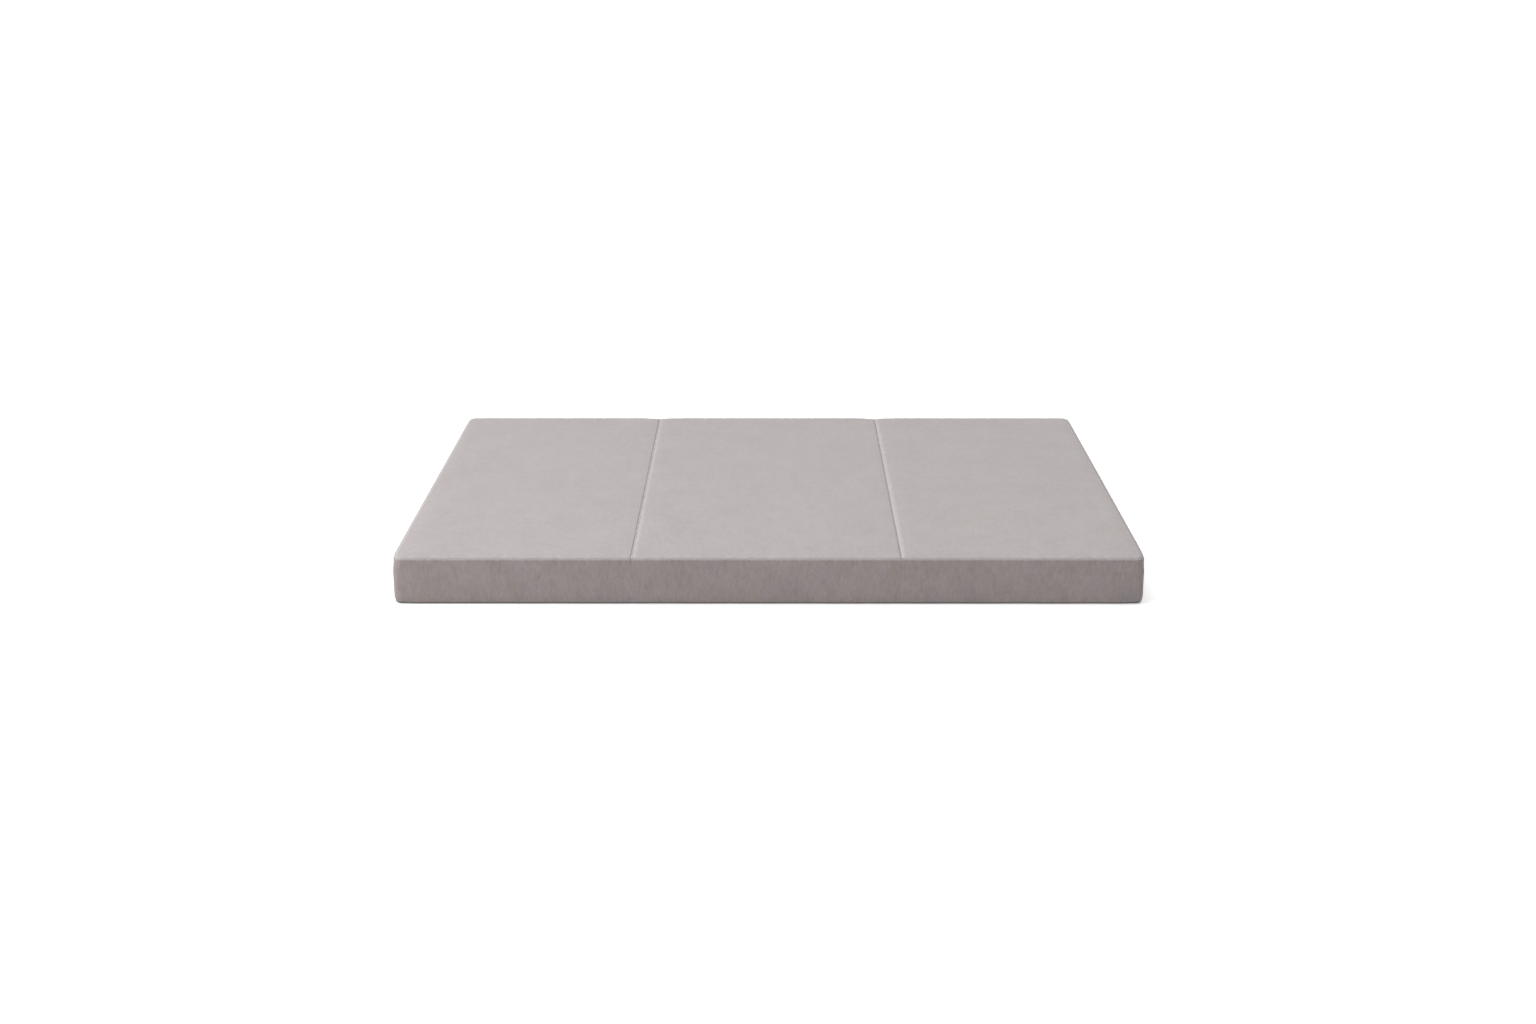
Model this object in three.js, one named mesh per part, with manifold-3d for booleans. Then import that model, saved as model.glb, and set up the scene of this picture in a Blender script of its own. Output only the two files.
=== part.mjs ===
// A three-panel folding mattress, lying open. Millimetres, +X along the three panels, +Y to the back,
// +Z up. The origin is on the floor under the middle of the mattress.
// Each panel is two foam layers in a fitted inner liner, inside a sewn cover with a zip at the back.
// The left fold opens like a book from above, and the right fold opens from below.
import * as THREE from 'three';
import { mergeVertices } from 'three/addons/utils/BufferGeometryUtils.js';
import Module from 'manifold-3d';

const wasm = await Module();
wasm.setup();

// Overall sizes
const overallLength = 1900;
const overallDepth = 1400;
const overallThickness = 125;
const leftPanelLength = 603.5;
const middlePanelLength = 681;
const foldGap = 1;
const clearance = 0.3;

// Thicknesses of the sheets
const coverSheet = 1.6;
const linerSheet = 0.8;
const baseSheet = 1.6;
const bindingSheet = 1.6;

// Plan of a panel: corner rounding, and how far a side is pulled in at its corners
const cornerRadius = 24;
const foldCornerRadius = 3;
const innerCornerRadius = 6;
const cornerGrowthShare = 0.4;
const sideBow = 0.6;
const sideBowRun = 60;
const bowStationShares = [0.4, 1];
const bowAtStationShares = [0.6, 1];
const mostOfSideShare = 0.3;
const mostCornerShare = 0.4;
const cornerSteps = 4;
const foldCornerSteps = 2;

// Side of a panel, from the floor up to the seam under the piping
const bottomRoundInset = 7;
const bottomRoundHeight = 24;
const bottomRoundSteps = 4;
const layerHeight = 66;
const seamDrawIn = 2;
const wallLowerSteps = 3;
const wallUpperSteps = 3;

// Piping and the rolled edge of the top cover behind it
const pipingRadius = 4;
const pipingBelowShoulder = 1;
const pipingSides = 8;
const skirtHeight = 1.6;
const shoulderRise = 5.8;
const shoulderInset = 4.5;
const foldShoulderInset = 4;
const shoulderSteps = 3;

// Crown of the sleeping surface
const crownRise = 2.2;
const crownReach = 130;
const foldCrownReach = 90;
const crownStationShares = [0.12, 0.3, 0.55, 1];
const crownPower = 3;

// Binding along the bottom seam, and the mouth under the fitted liner
const bindingHeight = 5;
const bindingSteps = 3;
const linerMouthInset = 150;

// Fold tapes
const foldTapeSheet = 0.9;
const topFoldTapeHalfWidth = 5;
const topFoldTapeDip = 1.2;
const bottomFoldTapeHalfWidth = 8;
const foldTapeEndInset = 16;

// Zip in the back border
const zipHeight = 40;
const zipOpeningHeight = 22;
const zipEndMargin = 74;
const zipTapeSheet = 0.8;
const zipTapeRecess = 0.6;
const chainHeight = 5.2;
const chainThickness = 1.8;
const chainProud = 0.2;
const chainBevel = 0.5;
const stopLength = 3;
const stopProud = 1;
const cutOverrun = 5;

// Zip slider and puller
const sliderLength = 10;
const sliderPlate = 1;
const sliderFlange = 1.6;
const sliderFlangeDrop = 0.8;
const sliderEndGap = 1;
const flangeGap = 0.4;
const archLength = 6.4;
const archWidth = 1.8;
const archSheet = 1;
const archRootSink = 0.4;
const pullerSheet = 1.2;
const pullerWidth = 7;
const pullerTipWidth = 5;
const pullerLength = 24;
const pullerEyeLength = 4.8;
const pullerEyeWidth = 4;
const pullerPlay = 0.55;
const tipSteps = 6;

// Heights and insets that follow from the sizes above
const shoulderHeight = overallThickness - crownRise - shoulderRise;
const pipingHeight = shoulderHeight - pipingBelowShoulder;
const seamHeight = pipingHeight - pipingRadius - clearance;
const skirtInset = 2 * pipingRadius + clearance;
const linerDepth = coverSheet + clearance;
const linerInnerDepth = linerDepth + linerSheet;
const foamDepth = linerInnerDepth + clearance;
const leftFoldX = -overallLength / 2 + leftPanelLength;
const rightFoldX = leftFoldX + middlePanelLength;
const backY = overallDepth / 2;
const zipFaceY = backY - sideInset(0, zipHeight);
const sliderFaceY = zipFaceY + chainProud + clearance;
const pullerAxisY = sliderFaceY + sliderPlate + pullerPlay + pullerSheet / 2;

// Each panel's ends along X, which of them are folds, and which of those have the tape underneath
const panels = [
  {
    name: 'left',
    low: -overallLength / 2,
    high: leftFoldX - foldGap / 2,
    foldHigh: true,
  },
  {
    name: 'middle',
    low: leftFoldX + foldGap / 2,
    high: rightFoldX - foldGap / 2,
    foldLow: true,
    foldHigh: true,
    tapeHigh: true,
  },
  {
    name: 'right',
    low: rightFoldX + foldGap / 2,
    high: overallLength / 2,
    foldLow: true,
    tapeLow: true,
  },
];

function fabric(color, roughness) {
  return new THREE.MeshStandardMaterial({ color, roughness, metalness: 0 });
}

const materials = {
  cover: fabric(0xbeb7b7, 0.95),
  border: fabric(0x938888, 0.95),
  piping: fabric(0xa8a2a2, 0.9),
  base: fabric(0x4a4647, 0.85),
  binding: fabric(0x524c4d, 0.85),
  liner: fabric(0xf1efec, 0.9),
  comfortFoam: fabric(0xf6f2e6, 1),
  supportFoam: fabric(0xe9e2cf, 1),
  foldTape: fabric(0xa39b9b, 0.9),
  zipTape: fabric(0x8b8181, 0.9),
  zipTeeth: new THREE.MeshStandardMaterial({ color: 0x7e7575, roughness: 0.45, metalness: 0 }),
  zipMetal: new THREE.MeshStandardMaterial({ color: 0x9a9897, roughness: 0.35, metalness: 1 }),
};

// Side profile: how far a sheet that lies `depth` inside the cover stands in from the widest line
function bottomEase(z) {
  const rise = THREE.MathUtils.clamp(z / bottomRoundHeight, 0, 1);
  return bottomRoundInset * (1 - Math.sqrt(1 - (1 - rise) ** 2));
}

function seamDraw(z) {
  const rise = Math.max((z - layerHeight) / (seamHeight - layerHeight), 0);
  return seamDrawIn * rise ** 2;
}

function sideInset(depth, z) {
  return depth + bottomEase(z - depth) + seamDraw(z);
}

// A ring is an outline of a panel in plan: `side` insets its outer sides and `fold` its fold sides
function sideRing(depth, z) {
  return { side: sideInset(depth, z), fold: depth, z };
}

function bottomRings(depth) {
  const rings = [];
  for (let i = 0; i <= bottomRoundSteps; i++) {
    const angle = (Math.PI / 2) * (i / bottomRoundSteps);
    rings.push({
      side: depth + bottomRoundInset * (1 - Math.sin(angle)),
      fold: depth,
      z: depth + bottomRoundHeight * (1 - Math.cos(angle)),
    });
  }
  return rings;
}

function edgeRings(depth) {
  const top = shoulderHeight - depth;
  return [
    sideRing(depth, top - skirtInset),
    { side: skirtInset + depth, fold: depth, z: top },
  ];
}

function shoulderRings(depth) {
  const rings = [];
  for (let i = 1; i <= shoulderSteps; i++) {
    const angle = (Math.PI / 2) * (i / shoulderSteps);
    rings.push({
      side: skirtInset + depth + shoulderInset * (1 - Math.cos(angle)),
      fold: depth + foldShoulderInset * (1 - Math.cos(angle)),
      z: shoulderHeight - depth + shoulderRise * Math.sin(angle),
    });
  }
  return rings;
}

function crownRings(depth) {
  return crownStationShares.map((share) => ({
    side: skirtInset + shoulderInset + depth + crownReach * share,
    fold: foldShoulderInset + depth + foldCrownReach * share,
    z: overallThickness - depth - crownRise * (1 - share) ** crownPower,
  }));
}

function topRings(depth) {
  return [...shoulderRings(depth), ...crownRings(depth)];
}

// Corner radius of a ring: it shrinks inside the wall, and grows again where the crown flattens out
function outerRadius(side) {
  return Math.max(cornerRadius - side, innerCornerRadius + cornerGrowthShare * side);
}

function foldRadius(fold) {
  return foldCornerRadius + cornerGrowthShare * fold;
}

function fitRadius(radius, { x0, x1, y0, y1 }) {
  return Math.min(radius, mostCornerShare * Math.min(x1 - x0, y1 - y0));
}

// The four sides of a panel's plan, counter-clockwise from the front
function planSides(panel, ring) {
  const foldLow = ring.foldLow ?? ring.fold;
  const foldHigh = ring.foldHigh ?? ring.fold;
  return {
    x0: panel.low + (panel.foldLow ? foldLow : ring.side + sideBow),
    x1: panel.high - (panel.foldHigh ? foldHigh : ring.side + sideBow),
    y0: -overallDepth / 2 + ring.side + sideBow,
    y1: overallDepth / 2 - ring.side - sideBow,
  };
}

// Points along an outer side between two corners, which bows out a little past them
function bowedSide(from, to) {
  const along = new THREE.Vector2().subVectors(to, from);
  const run = Math.min(sideBowRun, along.length() * mostOfSideShare);
  along.normalize();
  const out = new THREE.Vector2(along.y, -along.x);
  const station = (corner, direction) => (share, i) => corner.clone()
    .addScaledVector(along, direction * run * share)
    .addScaledVector(out, sideBow * bowAtStationShares[i]);
  return [
    ...bowStationShares.map(station(from, 1)),
    ...bowStationShares.map(station(to, -1)).reverse(),
  ];
}

function cornerArc(x, y, radius, quarter, steps) {
  const start = quarter * (Math.PI / 2);
  const away = start + Math.PI / 4;
  const centre = new THREE.Vector2(
    x - Math.sign(Math.cos(away)) * radius,
    y - Math.sign(Math.sin(away)) * radius,
  );
  const points = [];
  for (let i = 0; i <= steps; i++) {
    const angle = start + (Math.PI / 2) * (i / steps);
    const spoke = new THREE.Vector2(Math.cos(angle), Math.sin(angle));
    points.push(centre.clone().addScaledVector(spoke, radius));
  }
  return points;
}

// Corners in the order front right, back right, back left, front left
function panelRing(panel, ring) {
  const sides = planSides(panel, ring);
  const { x0, x1, y0, y1 } = sides;
  const corner = (x, y, quarter, atFold) => {
    const radius = fitRadius(atFold ? foldRadius(ring.fold) : outerRadius(ring.side), sides);
    return cornerArc(x, y, radius, quarter, atFold ? foldCornerSteps : cornerSteps);
  };
  const arcs = [
    corner(x1, y0, 3, panel.foldHigh),
    corner(x1, y1, 0, panel.foldHigh),
    corner(x0, y1, 1, panel.foldLow),
    corner(x0, y0, 2, panel.foldLow),
  ];
  const isFold = [false, panel.foldHigh, false, panel.foldLow];
  const points = [];
  isFold.forEach((fold, i) => {
    const from = arcs[(i + 3) % 4].at(-1);
    const to = arcs[i][0];
    if (!fold) points.push(...bowedSide(from, to));
    points.push(...arcs[i]);
  });
  return points.map((p) => [p.x, p.y, ring.z]);
}

// Open path along the outer sides of a panel at one inset, from fold face to fold face
function borderPath(panel, run, side, z) {
  const { x0, x1, y0, y1 } = planSides(panel, { side, fold: 0 });
  const at = (x, y) => new THREE.Vector2(x, y);
  const radius = outerRadius(side);
  const arc = (x, y, quarter) => cornerArc(x, y, radius, quarter, cornerSteps);
  const runs = {
    front: () => [at(x0, y0), at(x1, y0)],
    back: () => [at(x1, y1), at(x0, y1)],
    left: () => [at(x1, y1), ...arc(x0, y1, 1), ...arc(x0, y0, 2), at(x1, y0)],
    right: () => [at(x0, y0), ...arc(x1, y0, 3), ...arc(x1, y1, 0), at(x0, y1)],
  };
  const stops = runs[run]();
  const points = [stops[0]];
  for (let i = 1; i < stops.length; i++) {
    const straight = stops.length === 2 || i === 1 || i === stops.length - 1 || i === cornerSteps + 2;
    if (straight) points.push(...bowedSide(stops[i - 1], stops[i]));
    points.push(stops[i]);
  }
  return points.map((p) => [p.x, p.y, z]);
}

// Solids from rings or sections: quads between neighbours, and a flat cap at each end
function toGeometry(positions, indices) {
  const geometry = new THREE.BufferGeometry();
  geometry.setAttribute('position', new THREE.Float32BufferAttribute(positions.flat(), 3));
  let signedVolume = 0;
  const [a, b, c] = [new THREE.Vector3(), new THREE.Vector3(), new THREE.Vector3()];
  for (let i = 0; i < indices.length; i += 3) {
    a.fromArray(positions[indices[i]]);
    b.fromArray(positions[indices[i + 1]]);
    c.fromArray(positions[indices[i + 2]]);
    signedVolume += a.dot(b.cross(c));
  }
  geometry.setIndex(signedVolume > 0 ? indices : indices.reverse());
  geometry.computeVertexNormals();
  return geometry;
}

// Triangles of a flat outline, wound the way the outline runs
function capTriangles(outline) {
  const count = outline.length;
  const triangles = THREE.ShapeUtils.triangulateShape(outline, []);
  const follows = triangles.some((t) => t.some((p, i) => t[(i + 1) % 3] === (p + 1) % count));
  return follows ? triangles : triangles.map(([p, q, r]) => [p, r, q]);
}

function skin(loops, cap) {
  const count = loops[0].length;
  const indices = [];
  for (let k = 0; k + 1 < loops.length; k++) {
    for (let i = 0; i < count; i++) {
      const a = k * count + i;
      const b = k * count + ((i + 1) % count);
      indices.push(a, b, b + count, a, b + count, a + count);
    }
  }
  const last = (loops.length - 1) * count;
  for (const [p, q, r] of cap) indices.push(p, r, q, last + p, last + q, last + r);
  return toGeometry(loops.flat(), indices);
}

function loft(panel, rings) {
  const loops = rings.map((ring) => panelRing(panel, ring));
  const flat = loops[0].map(([x, y]) => new THREE.Vector2(x, y));
  return skin(loops, capTriangles(flat));
}

function sweep(panel, run, section) {
  const paths = section.map(([side, z]) => borderPath(panel, run, side, z));
  const loops = paths[0].map((_, i) => paths.map((path) => path[i]));
  const flat = section.map(([side, z]) => new THREE.Vector2(side, z));
  return skin(loops, capTriangles(flat));
}

function extrude(points, length) {
  const shape = new THREE.Shape(points.map(([x, y]) => new THREE.Vector2(x, y)));
  return new THREE.ExtrudeGeometry(shape, { depth: length, bevelEnabled: false });
}

// Turns an outline drawn in (Y, Z) and pulled out along the third axis so that it runs along +X
function alongX(geometry) {
  const basis = new THREE.Matrix4().makeBasis(
    new THREE.Vector3(0, 1, 0),
    new THREE.Vector3(0, 0, 1),
    new THREE.Vector3(1, 0, 0),
  );
  return geometry.applyMatrix4(basis);
}

// Pulls an outline drawn in (X, Z) out along +Y
function alongY(geometry, length) {
  return geometry.rotateX(Math.PI / 2).translate(0, length, 0);
}

function block(low, high) {
  const size = high.map((value, i) => value - low[i]);
  const centre = high.map((value, i) => (value + low[i]) / 2);
  return new THREE.BoxGeometry(...size).translate(...centre);
}

function toManifold(geometry) {
  const bare = new THREE.BufferGeometry();
  bare.setAttribute('position', geometry.getAttribute('position'));
  if (geometry.index) bare.setIndex(geometry.index);
  const merged = mergeVertices(bare);
  return new wasm.Manifold(new wasm.Mesh({
    numProp: 3,
    vertProperties: new Float32Array(merged.getAttribute('position').array),
    triVerts: new Uint32Array(merged.index.array),
  }));
}

function fromManifold(solid) {
  const { vertProperties, triVerts } = solid.getMesh();
  const geometry = new THREE.BufferGeometry();
  geometry.setAttribute('position', new THREE.BufferAttribute(vertProperties, 3));
  geometry.setIndex(new THREE.BufferAttribute(triVerts, 1));
  geometry.computeVertexNormals();
  return geometry;
}

const mattress = new THREE.Group();

function add(name, geometry, material) {
  const mesh = new THREE.Mesh(geometry, material);
  mesh.name = name;
  mattress.add(mesh);
  return mesh;
}

// Two foam layers that meet at the widest height of the side
function supportFoam(panel) {
  const top = layerHeight - clearance / 2;
  return loft(panel, [...bottomRings(foamDepth), { side: foamDepth, fold: foamDepth, z: top }]);
}

function comfortFoam(panel) {
  const bottom = layerHeight + clearance / 2;
  return loft(panel, [
    { side: foamDepth, fold: foamDepth, z: bottom },
    ...edgeRings(foamDepth),
    ...topRings(foamDepth),
  ]);
}

// Inner liner: it is pulled over the foam from above and ends in an open mouth underneath
function foamLiner(panel) {
  const surface = (depth) => [
    { side: linerMouthInset, fold: linerMouthInset, z: depth },
    ...bottomRings(depth),
    { side: depth, fold: depth, z: layerHeight },
    ...edgeRings(depth),
    ...topRings(depth),
  ];
  return loft(panel, [...surface(linerInnerDepth).reverse(), ...surface(linerDepth)]);
}

// Top cover: a crowned sheet whose edge turns down behind the piping
function topCover(panel) {
  const skirtEdge = (depth) => ({
    side: skirtInset + depth,
    fold: depth,
    z: shoulderHeight - skirtHeight,
  });
  const inner = [skirtEdge(coverSheet), ...topRings(coverSheet)];
  const outer = [skirtEdge(0), { side: skirtInset, fold: 0, z: shoulderHeight }, ...topRings(0)];
  return loft(panel, [...inner.reverse(), ...outer]);
}

// Border: one strip round the outer sides of an end panel, or two on the middle panel
function wallHeights() {
  const bottom = bindingHeight + clearance;
  const heights = [];
  for (let i = 0; i < wallLowerSteps; i++) {
    heights.push(bottom + (bottomRoundHeight - bottom) * (i / wallLowerSteps));
  }
  heights.push(bottomRoundHeight);
  for (let i = 0; i <= wallUpperSteps; i++) {
    heights.push(layerHeight + (seamHeight - layerHeight) * (i / wallUpperSteps));
  }
  return heights;
}

function sheetSection(heights, sheet) {
  const outer = heights.map((z) => [sideInset(0, z), z]);
  const inner = heights.map((z) => [sideInset(sheet, z), z]);
  return [...outer, ...inner.reverse()];
}

function border(panel, run) {
  return sweep(panel, run, sheetSection(wallHeights(), coverSheet));
}

function zipSpan(panel) {
  return { start: panel.low + zipEndMargin, end: panel.high - zipEndMargin };
}

function borderWithZipOpening(panel, run) {
  const { start, end } = zipSpan(panel);
  const half = zipOpeningHeight / 2;
  const opening = block(
    [start, backY - coverSheet - cutOverrun, zipHeight - half],
    [end, backY + cutOverrun, zipHeight + half],
  );
  return fromManifold(toManifold(border(panel, run)).subtract(toManifold(opening)));
}

// Binding: a folded tape over the bottom seam of the border
function binding(panel, run) {
  const heights = (from) => {
    const list = [];
    for (let i = 0; i <= bindingSteps; i++) {
      list.push(from + (bindingHeight - from) * (i / bindingSteps));
    }
    return list;
  };
  const outer = heights(clearance).map((z) => [sideInset(0, z), z]);
  const inner = heights(clearance + bindingSheet).map((z) => [sideInset(bindingSheet, z), z]);
  return sweep(panel, run, [...outer, ...inner.reverse()]);
}

function piping(panel, run) {
  const section = [];
  for (let i = 0; i < pipingSides; i++) {
    const angle = (2 * Math.PI * (i + 1 / 2)) / pipingSides;
    section.push([
      pipingRadius + pipingRadius * Math.cos(angle),
      pipingHeight + pipingRadius * Math.sin(angle),
    ]);
  }
  return sweep(panel, run, section);
}

// Fold wall: the upright inner sheet at a fold, between the border strips
function foldWall(panel, atHigh) {
  const depth = linerDepth;
  const rings = [...bottomRings(depth), { side: depth, z: layerHeight }, ...edgeRings(depth)];
  const half = ({ side }) => overallDepth / 2 - sideBow - side;
  const points = [
    ...rings.map((ring) => [half(ring), ring.z]),
    ...rings.map((ring) => [-half(ring), ring.z]).reverse(),
  ];
  const x = atHigh ? panel.high - coverSheet : panel.low;
  return alongX(extrude(points, coverSheet)).translate(x, 0, 0);
}

// Base: a flat sheet that lies on the floor and makes room for the tape under the right fold
function base(panel) {
  const edge = sideInset(bindingSheet + clearance, bindingSheet + clearance);
  const room = bottomFoldTapeHalfWidth + clearance - foldGap / 2;
  const foldLow = panel.tapeLow ? room : 0;
  const foldHigh = panel.tapeHigh ? room : 0;
  const ring = (z) => ({ side: edge, fold: 0, foldLow, foldHigh, z });
  return loft(panel, [ring(0), ring(baseSheet)]);
}

// Fold tapes: one in the valley on top of the left fold, one under the right fold
function topFoldTape() {
  const shoulderTop = overallThickness - crownRise + clearance;
  const outer = topFoldTapeHalfWidth;
  const inner = outer / 2;
  const rise = crownRise * (1 - (1 - outer / foldCrownReach) ** crownPower);
  const lower = [
    [-outer, shoulderTop + rise],
    [-inner, shoulderTop],
    [0, shoulderTop - topFoldTapeDip],
    [inner, shoulderTop],
    [outer, shoulderTop + rise],
  ];
  const upper = lower.map(([x, z]) => [x, z + foldTapeSheet]).reverse();
  const length = overallDepth - 2 * foldTapeEndInset;
  return alongY(extrude([...lower, ...upper], length), length).translate(leftFoldX, -length / 2, 0);
}

function bottomFoldTape() {
  const half = bottomFoldTapeHalfWidth;
  const end = overallDepth / 2 - foldTapeEndInset;
  const lift = (baseSheet - foldTapeSheet) / 2;
  return block([rightFoldX - half, -end, lift], [rightFoldX + half, end, lift + foldTapeSheet]);
}

// Zip: two tapes, the closed chain between them, a stop at each end, a slider and its puller
function zipTape(panel, above) {
  const { start, end } = zipSpan(panel);
  const near = chainHeight / 2 + clearance;
  const far = zipOpeningHeight / 2 - clearance;
  const [low, high] = above ? [near, far] : [-far, -near];
  const face = zipFaceY - zipTapeRecess;
  return block(
    [start + clearance, face - zipTapeSheet, zipHeight + low],
    [end - clearance, face, zipHeight + high],
  );
}

function chainSpan(panel) {
  const { start, end } = zipSpan(panel);
  const taken = clearance + stopLength + clearance;
  return { start: start + taken, end: end - taken };
}

function zipChain(panel) {
  const { start, end } = chainSpan(panel);
  const face = zipFaceY + chainProud;
  const half = chainHeight / 2;
  const points = [
    [face - chainThickness, -half],
    [face - chainBevel, -half],
    [face, -half + chainBevel],
    [face, half - chainBevel],
    [face - chainBevel, half],
    [face - chainThickness, half],
  ].map(([y, z]) => [y, z + zipHeight]);
  return alongX(extrude(points, end - start)).translate(start, 0, 0);
}

function zipStop(panel, atEnd) {
  const { start, end } = zipSpan(panel);
  const x = atEnd ? end - clearance - stopLength : start + clearance;
  const half = chainHeight / 2;
  return block(
    [x, zipFaceY + chainProud - chainThickness, zipHeight - half],
    [x + stopLength, zipFaceY + stopProud, zipHeight + half],
  );
}

function sliderX(panel) {
  return chainSpan(panel).start + sliderEndGap + sliderLength / 2;
}

function zipSlider(panel) {
  const inner = chainHeight / 2 + flangeGap;
  const outer = inner + sliderFlange;
  const back = sliderFaceY - sliderFlangeDrop;
  const front = sliderFaceY + sliderPlate;
  const channel = [
    [back, -outer], [front, -outer], [front, outer], [back, outer],
    [back, inner], [sliderFaceY, inner], [sliderFaceY, -inner], [back, -inner],
  ];
  const middle = sliderX(panel);
  const body = alongX(extrude(channel, sliderLength));
  body.translate(middle - sliderLength / 2, 0, zipHeight);
  const arch = sliderArch().translate(middle, front, zipHeight - archWidth / 2);
  return fromManifold(toManifold(body).add(toManifold(arch)));
}

function sliderArch() {
  const half = archLength / 2;
  const under = pullerSheet + 2 * pullerPlay;
  const top = under + archSheet;
  const ease = archSheet / 2;
  const points = [
    [-half, -archRootSink], [-half + archSheet, -archRootSink], [-half + archSheet, under],
    [half - archSheet, under], [half - archSheet, -archRootSink], [half, -archRootSink],
    [half, top - ease], [half - ease, top], [-half + ease, top], [-half, top - ease],
  ];
  return extrude(points, archWidth);
}

function zipPuller(panel) {
  const bar = pullerSheet / 2;
  const half = pullerWidth / 2;
  const tip = pullerTipWidth / 2;
  const shape = new THREE.Shape();
  shape.moveTo(-bar, -half);
  shape.lineTo(bar + pullerEyeLength, -half);
  shape.lineTo(pullerLength - tip, -tip);
  for (let i = 1; i <= tipSteps; i++) {
    const angle = -Math.PI / 2 + Math.PI * (i / tipSteps);
    shape.lineTo(pullerLength - tip + tip * Math.cos(angle), tip * Math.sin(angle));
  }
  shape.lineTo(bar + pullerEyeLength, half);
  shape.lineTo(-bar, half);
  const eye = new THREE.Path();
  eye.moveTo(bar, -pullerEyeWidth / 2);
  eye.lineTo(bar, pullerEyeWidth / 2);
  eye.lineTo(bar + pullerEyeLength, pullerEyeWidth / 2);
  eye.lineTo(bar + pullerEyeLength, -pullerEyeWidth / 2);
  shape.holes.push(eye);
  const plate = new THREE.ExtrudeGeometry(shape, { depth: pullerSheet, bevelEnabled: false });
  return alongY(plate, pullerSheet).translate(sliderX(panel), pullerAxisY - pullerSheet / 2, zipHeight);
}

function addZip(panel) {
  const name = (piece) => `${panel.name}_zip_${piece}`;
  add(name('upper_tape'), zipTape(panel, true), materials.zipTape);
  add(name('lower_tape'), zipTape(panel, false), materials.zipTape);
  add(name('chain'), zipChain(panel), materials.zipTeeth);
  add(name('start_stop'), zipStop(panel, false), materials.zipMetal);
  add(name('end_stop'), zipStop(panel, true), materials.zipMetal);
  add(name('slider'), zipSlider(panel), materials.zipMetal);
  add(name('puller'), zipPuller(panel), materials.zipMetal);
}

function addOuterRuns(panel) {
  if (panel.foldLow && panel.foldHigh) {
    add(`${panel.name}_front_border`, border(panel, 'front'), materials.border);
    add(`${panel.name}_back_border`, borderWithZipOpening(panel, 'back'), materials.border);
    for (const run of ['front', 'back']) {
      add(`${panel.name}_${run}_piping`, piping(panel, run), materials.piping);
      add(`${panel.name}_${run}_binding`, binding(panel, run), materials.binding);
    }
    add(`${panel.name}_left_fold_wall`, foldWall(panel, false), materials.border);
    add(`${panel.name}_right_fold_wall`, foldWall(panel, true), materials.border);
    return;
  }
  add(`${panel.name}_border`, borderWithZipOpening(panel, panel.name), materials.border);
  add(`${panel.name}_piping`, piping(panel, panel.name), materials.piping);
  add(`${panel.name}_binding`, binding(panel, panel.name), materials.binding);
  add(`${panel.name}_fold_wall`, foldWall(panel, panel.foldHigh), materials.border);
}

for (const panel of panels) {
  add(`${panel.name}_support_foam`, supportFoam(panel), materials.supportFoam);
  add(`${panel.name}_comfort_foam`, comfortFoam(panel), materials.comfortFoam);
  add(`${panel.name}_foam_liner`, foamLiner(panel), materials.liner);
  add(`${panel.name}_top_cover`, topCover(panel), materials.cover);
  add(`${panel.name}_base`, base(panel), materials.base);
  addOuterRuns(panel);
  addZip(panel);
}
add('top_fold_tape', topFoldTape(), materials.foldTape);
add('bottom_fold_tape', bottomFoldTape(), materials.foldTape);

export default mattress;
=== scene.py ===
import math
from typing import NamedTuple

import bmesh
import bpy
import numpy as np
from mathutils import Euler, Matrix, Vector


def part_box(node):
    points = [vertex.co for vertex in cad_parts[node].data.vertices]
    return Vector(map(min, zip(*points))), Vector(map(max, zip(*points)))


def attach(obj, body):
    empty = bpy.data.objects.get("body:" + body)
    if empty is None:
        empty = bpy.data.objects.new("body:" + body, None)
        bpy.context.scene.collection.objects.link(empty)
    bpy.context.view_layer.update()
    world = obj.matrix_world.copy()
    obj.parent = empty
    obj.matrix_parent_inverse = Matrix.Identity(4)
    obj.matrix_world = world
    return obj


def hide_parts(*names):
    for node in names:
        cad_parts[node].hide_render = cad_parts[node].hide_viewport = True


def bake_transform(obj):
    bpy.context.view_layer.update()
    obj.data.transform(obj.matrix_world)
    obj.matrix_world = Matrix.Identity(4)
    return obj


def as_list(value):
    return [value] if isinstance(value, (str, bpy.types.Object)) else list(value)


# Looks of a three-panel folding mattress lying open. Metres, +X along the panels, +Y to the zipped back,
# +Z up.

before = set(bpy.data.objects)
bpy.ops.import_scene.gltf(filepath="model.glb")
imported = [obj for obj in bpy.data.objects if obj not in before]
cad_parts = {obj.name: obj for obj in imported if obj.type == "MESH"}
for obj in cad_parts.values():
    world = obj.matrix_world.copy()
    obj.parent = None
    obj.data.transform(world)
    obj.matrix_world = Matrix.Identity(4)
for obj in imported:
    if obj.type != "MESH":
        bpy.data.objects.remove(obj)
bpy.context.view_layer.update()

MM = 0.001

# Heights and sides that follow from the plain solids
HALF_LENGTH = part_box("right_border")[1].x
HALF_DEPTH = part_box("left_border")[1].y
TOP_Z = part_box("middle_top_cover")[1].z
SKIRT_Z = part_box("middle_top_cover")[0].z
SEAM_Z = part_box("left_border")[1].z
PIPING_Z = sum(corner.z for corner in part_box("left_piping")) / 2
HEM_DROP = 0.9 * MM
BINDING_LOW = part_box("left_binding")[0].z
BINDING_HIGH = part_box("left_binding")[1].z - HEM_DROP
LAYER_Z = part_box("left_comfort_foam")[0].z

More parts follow.
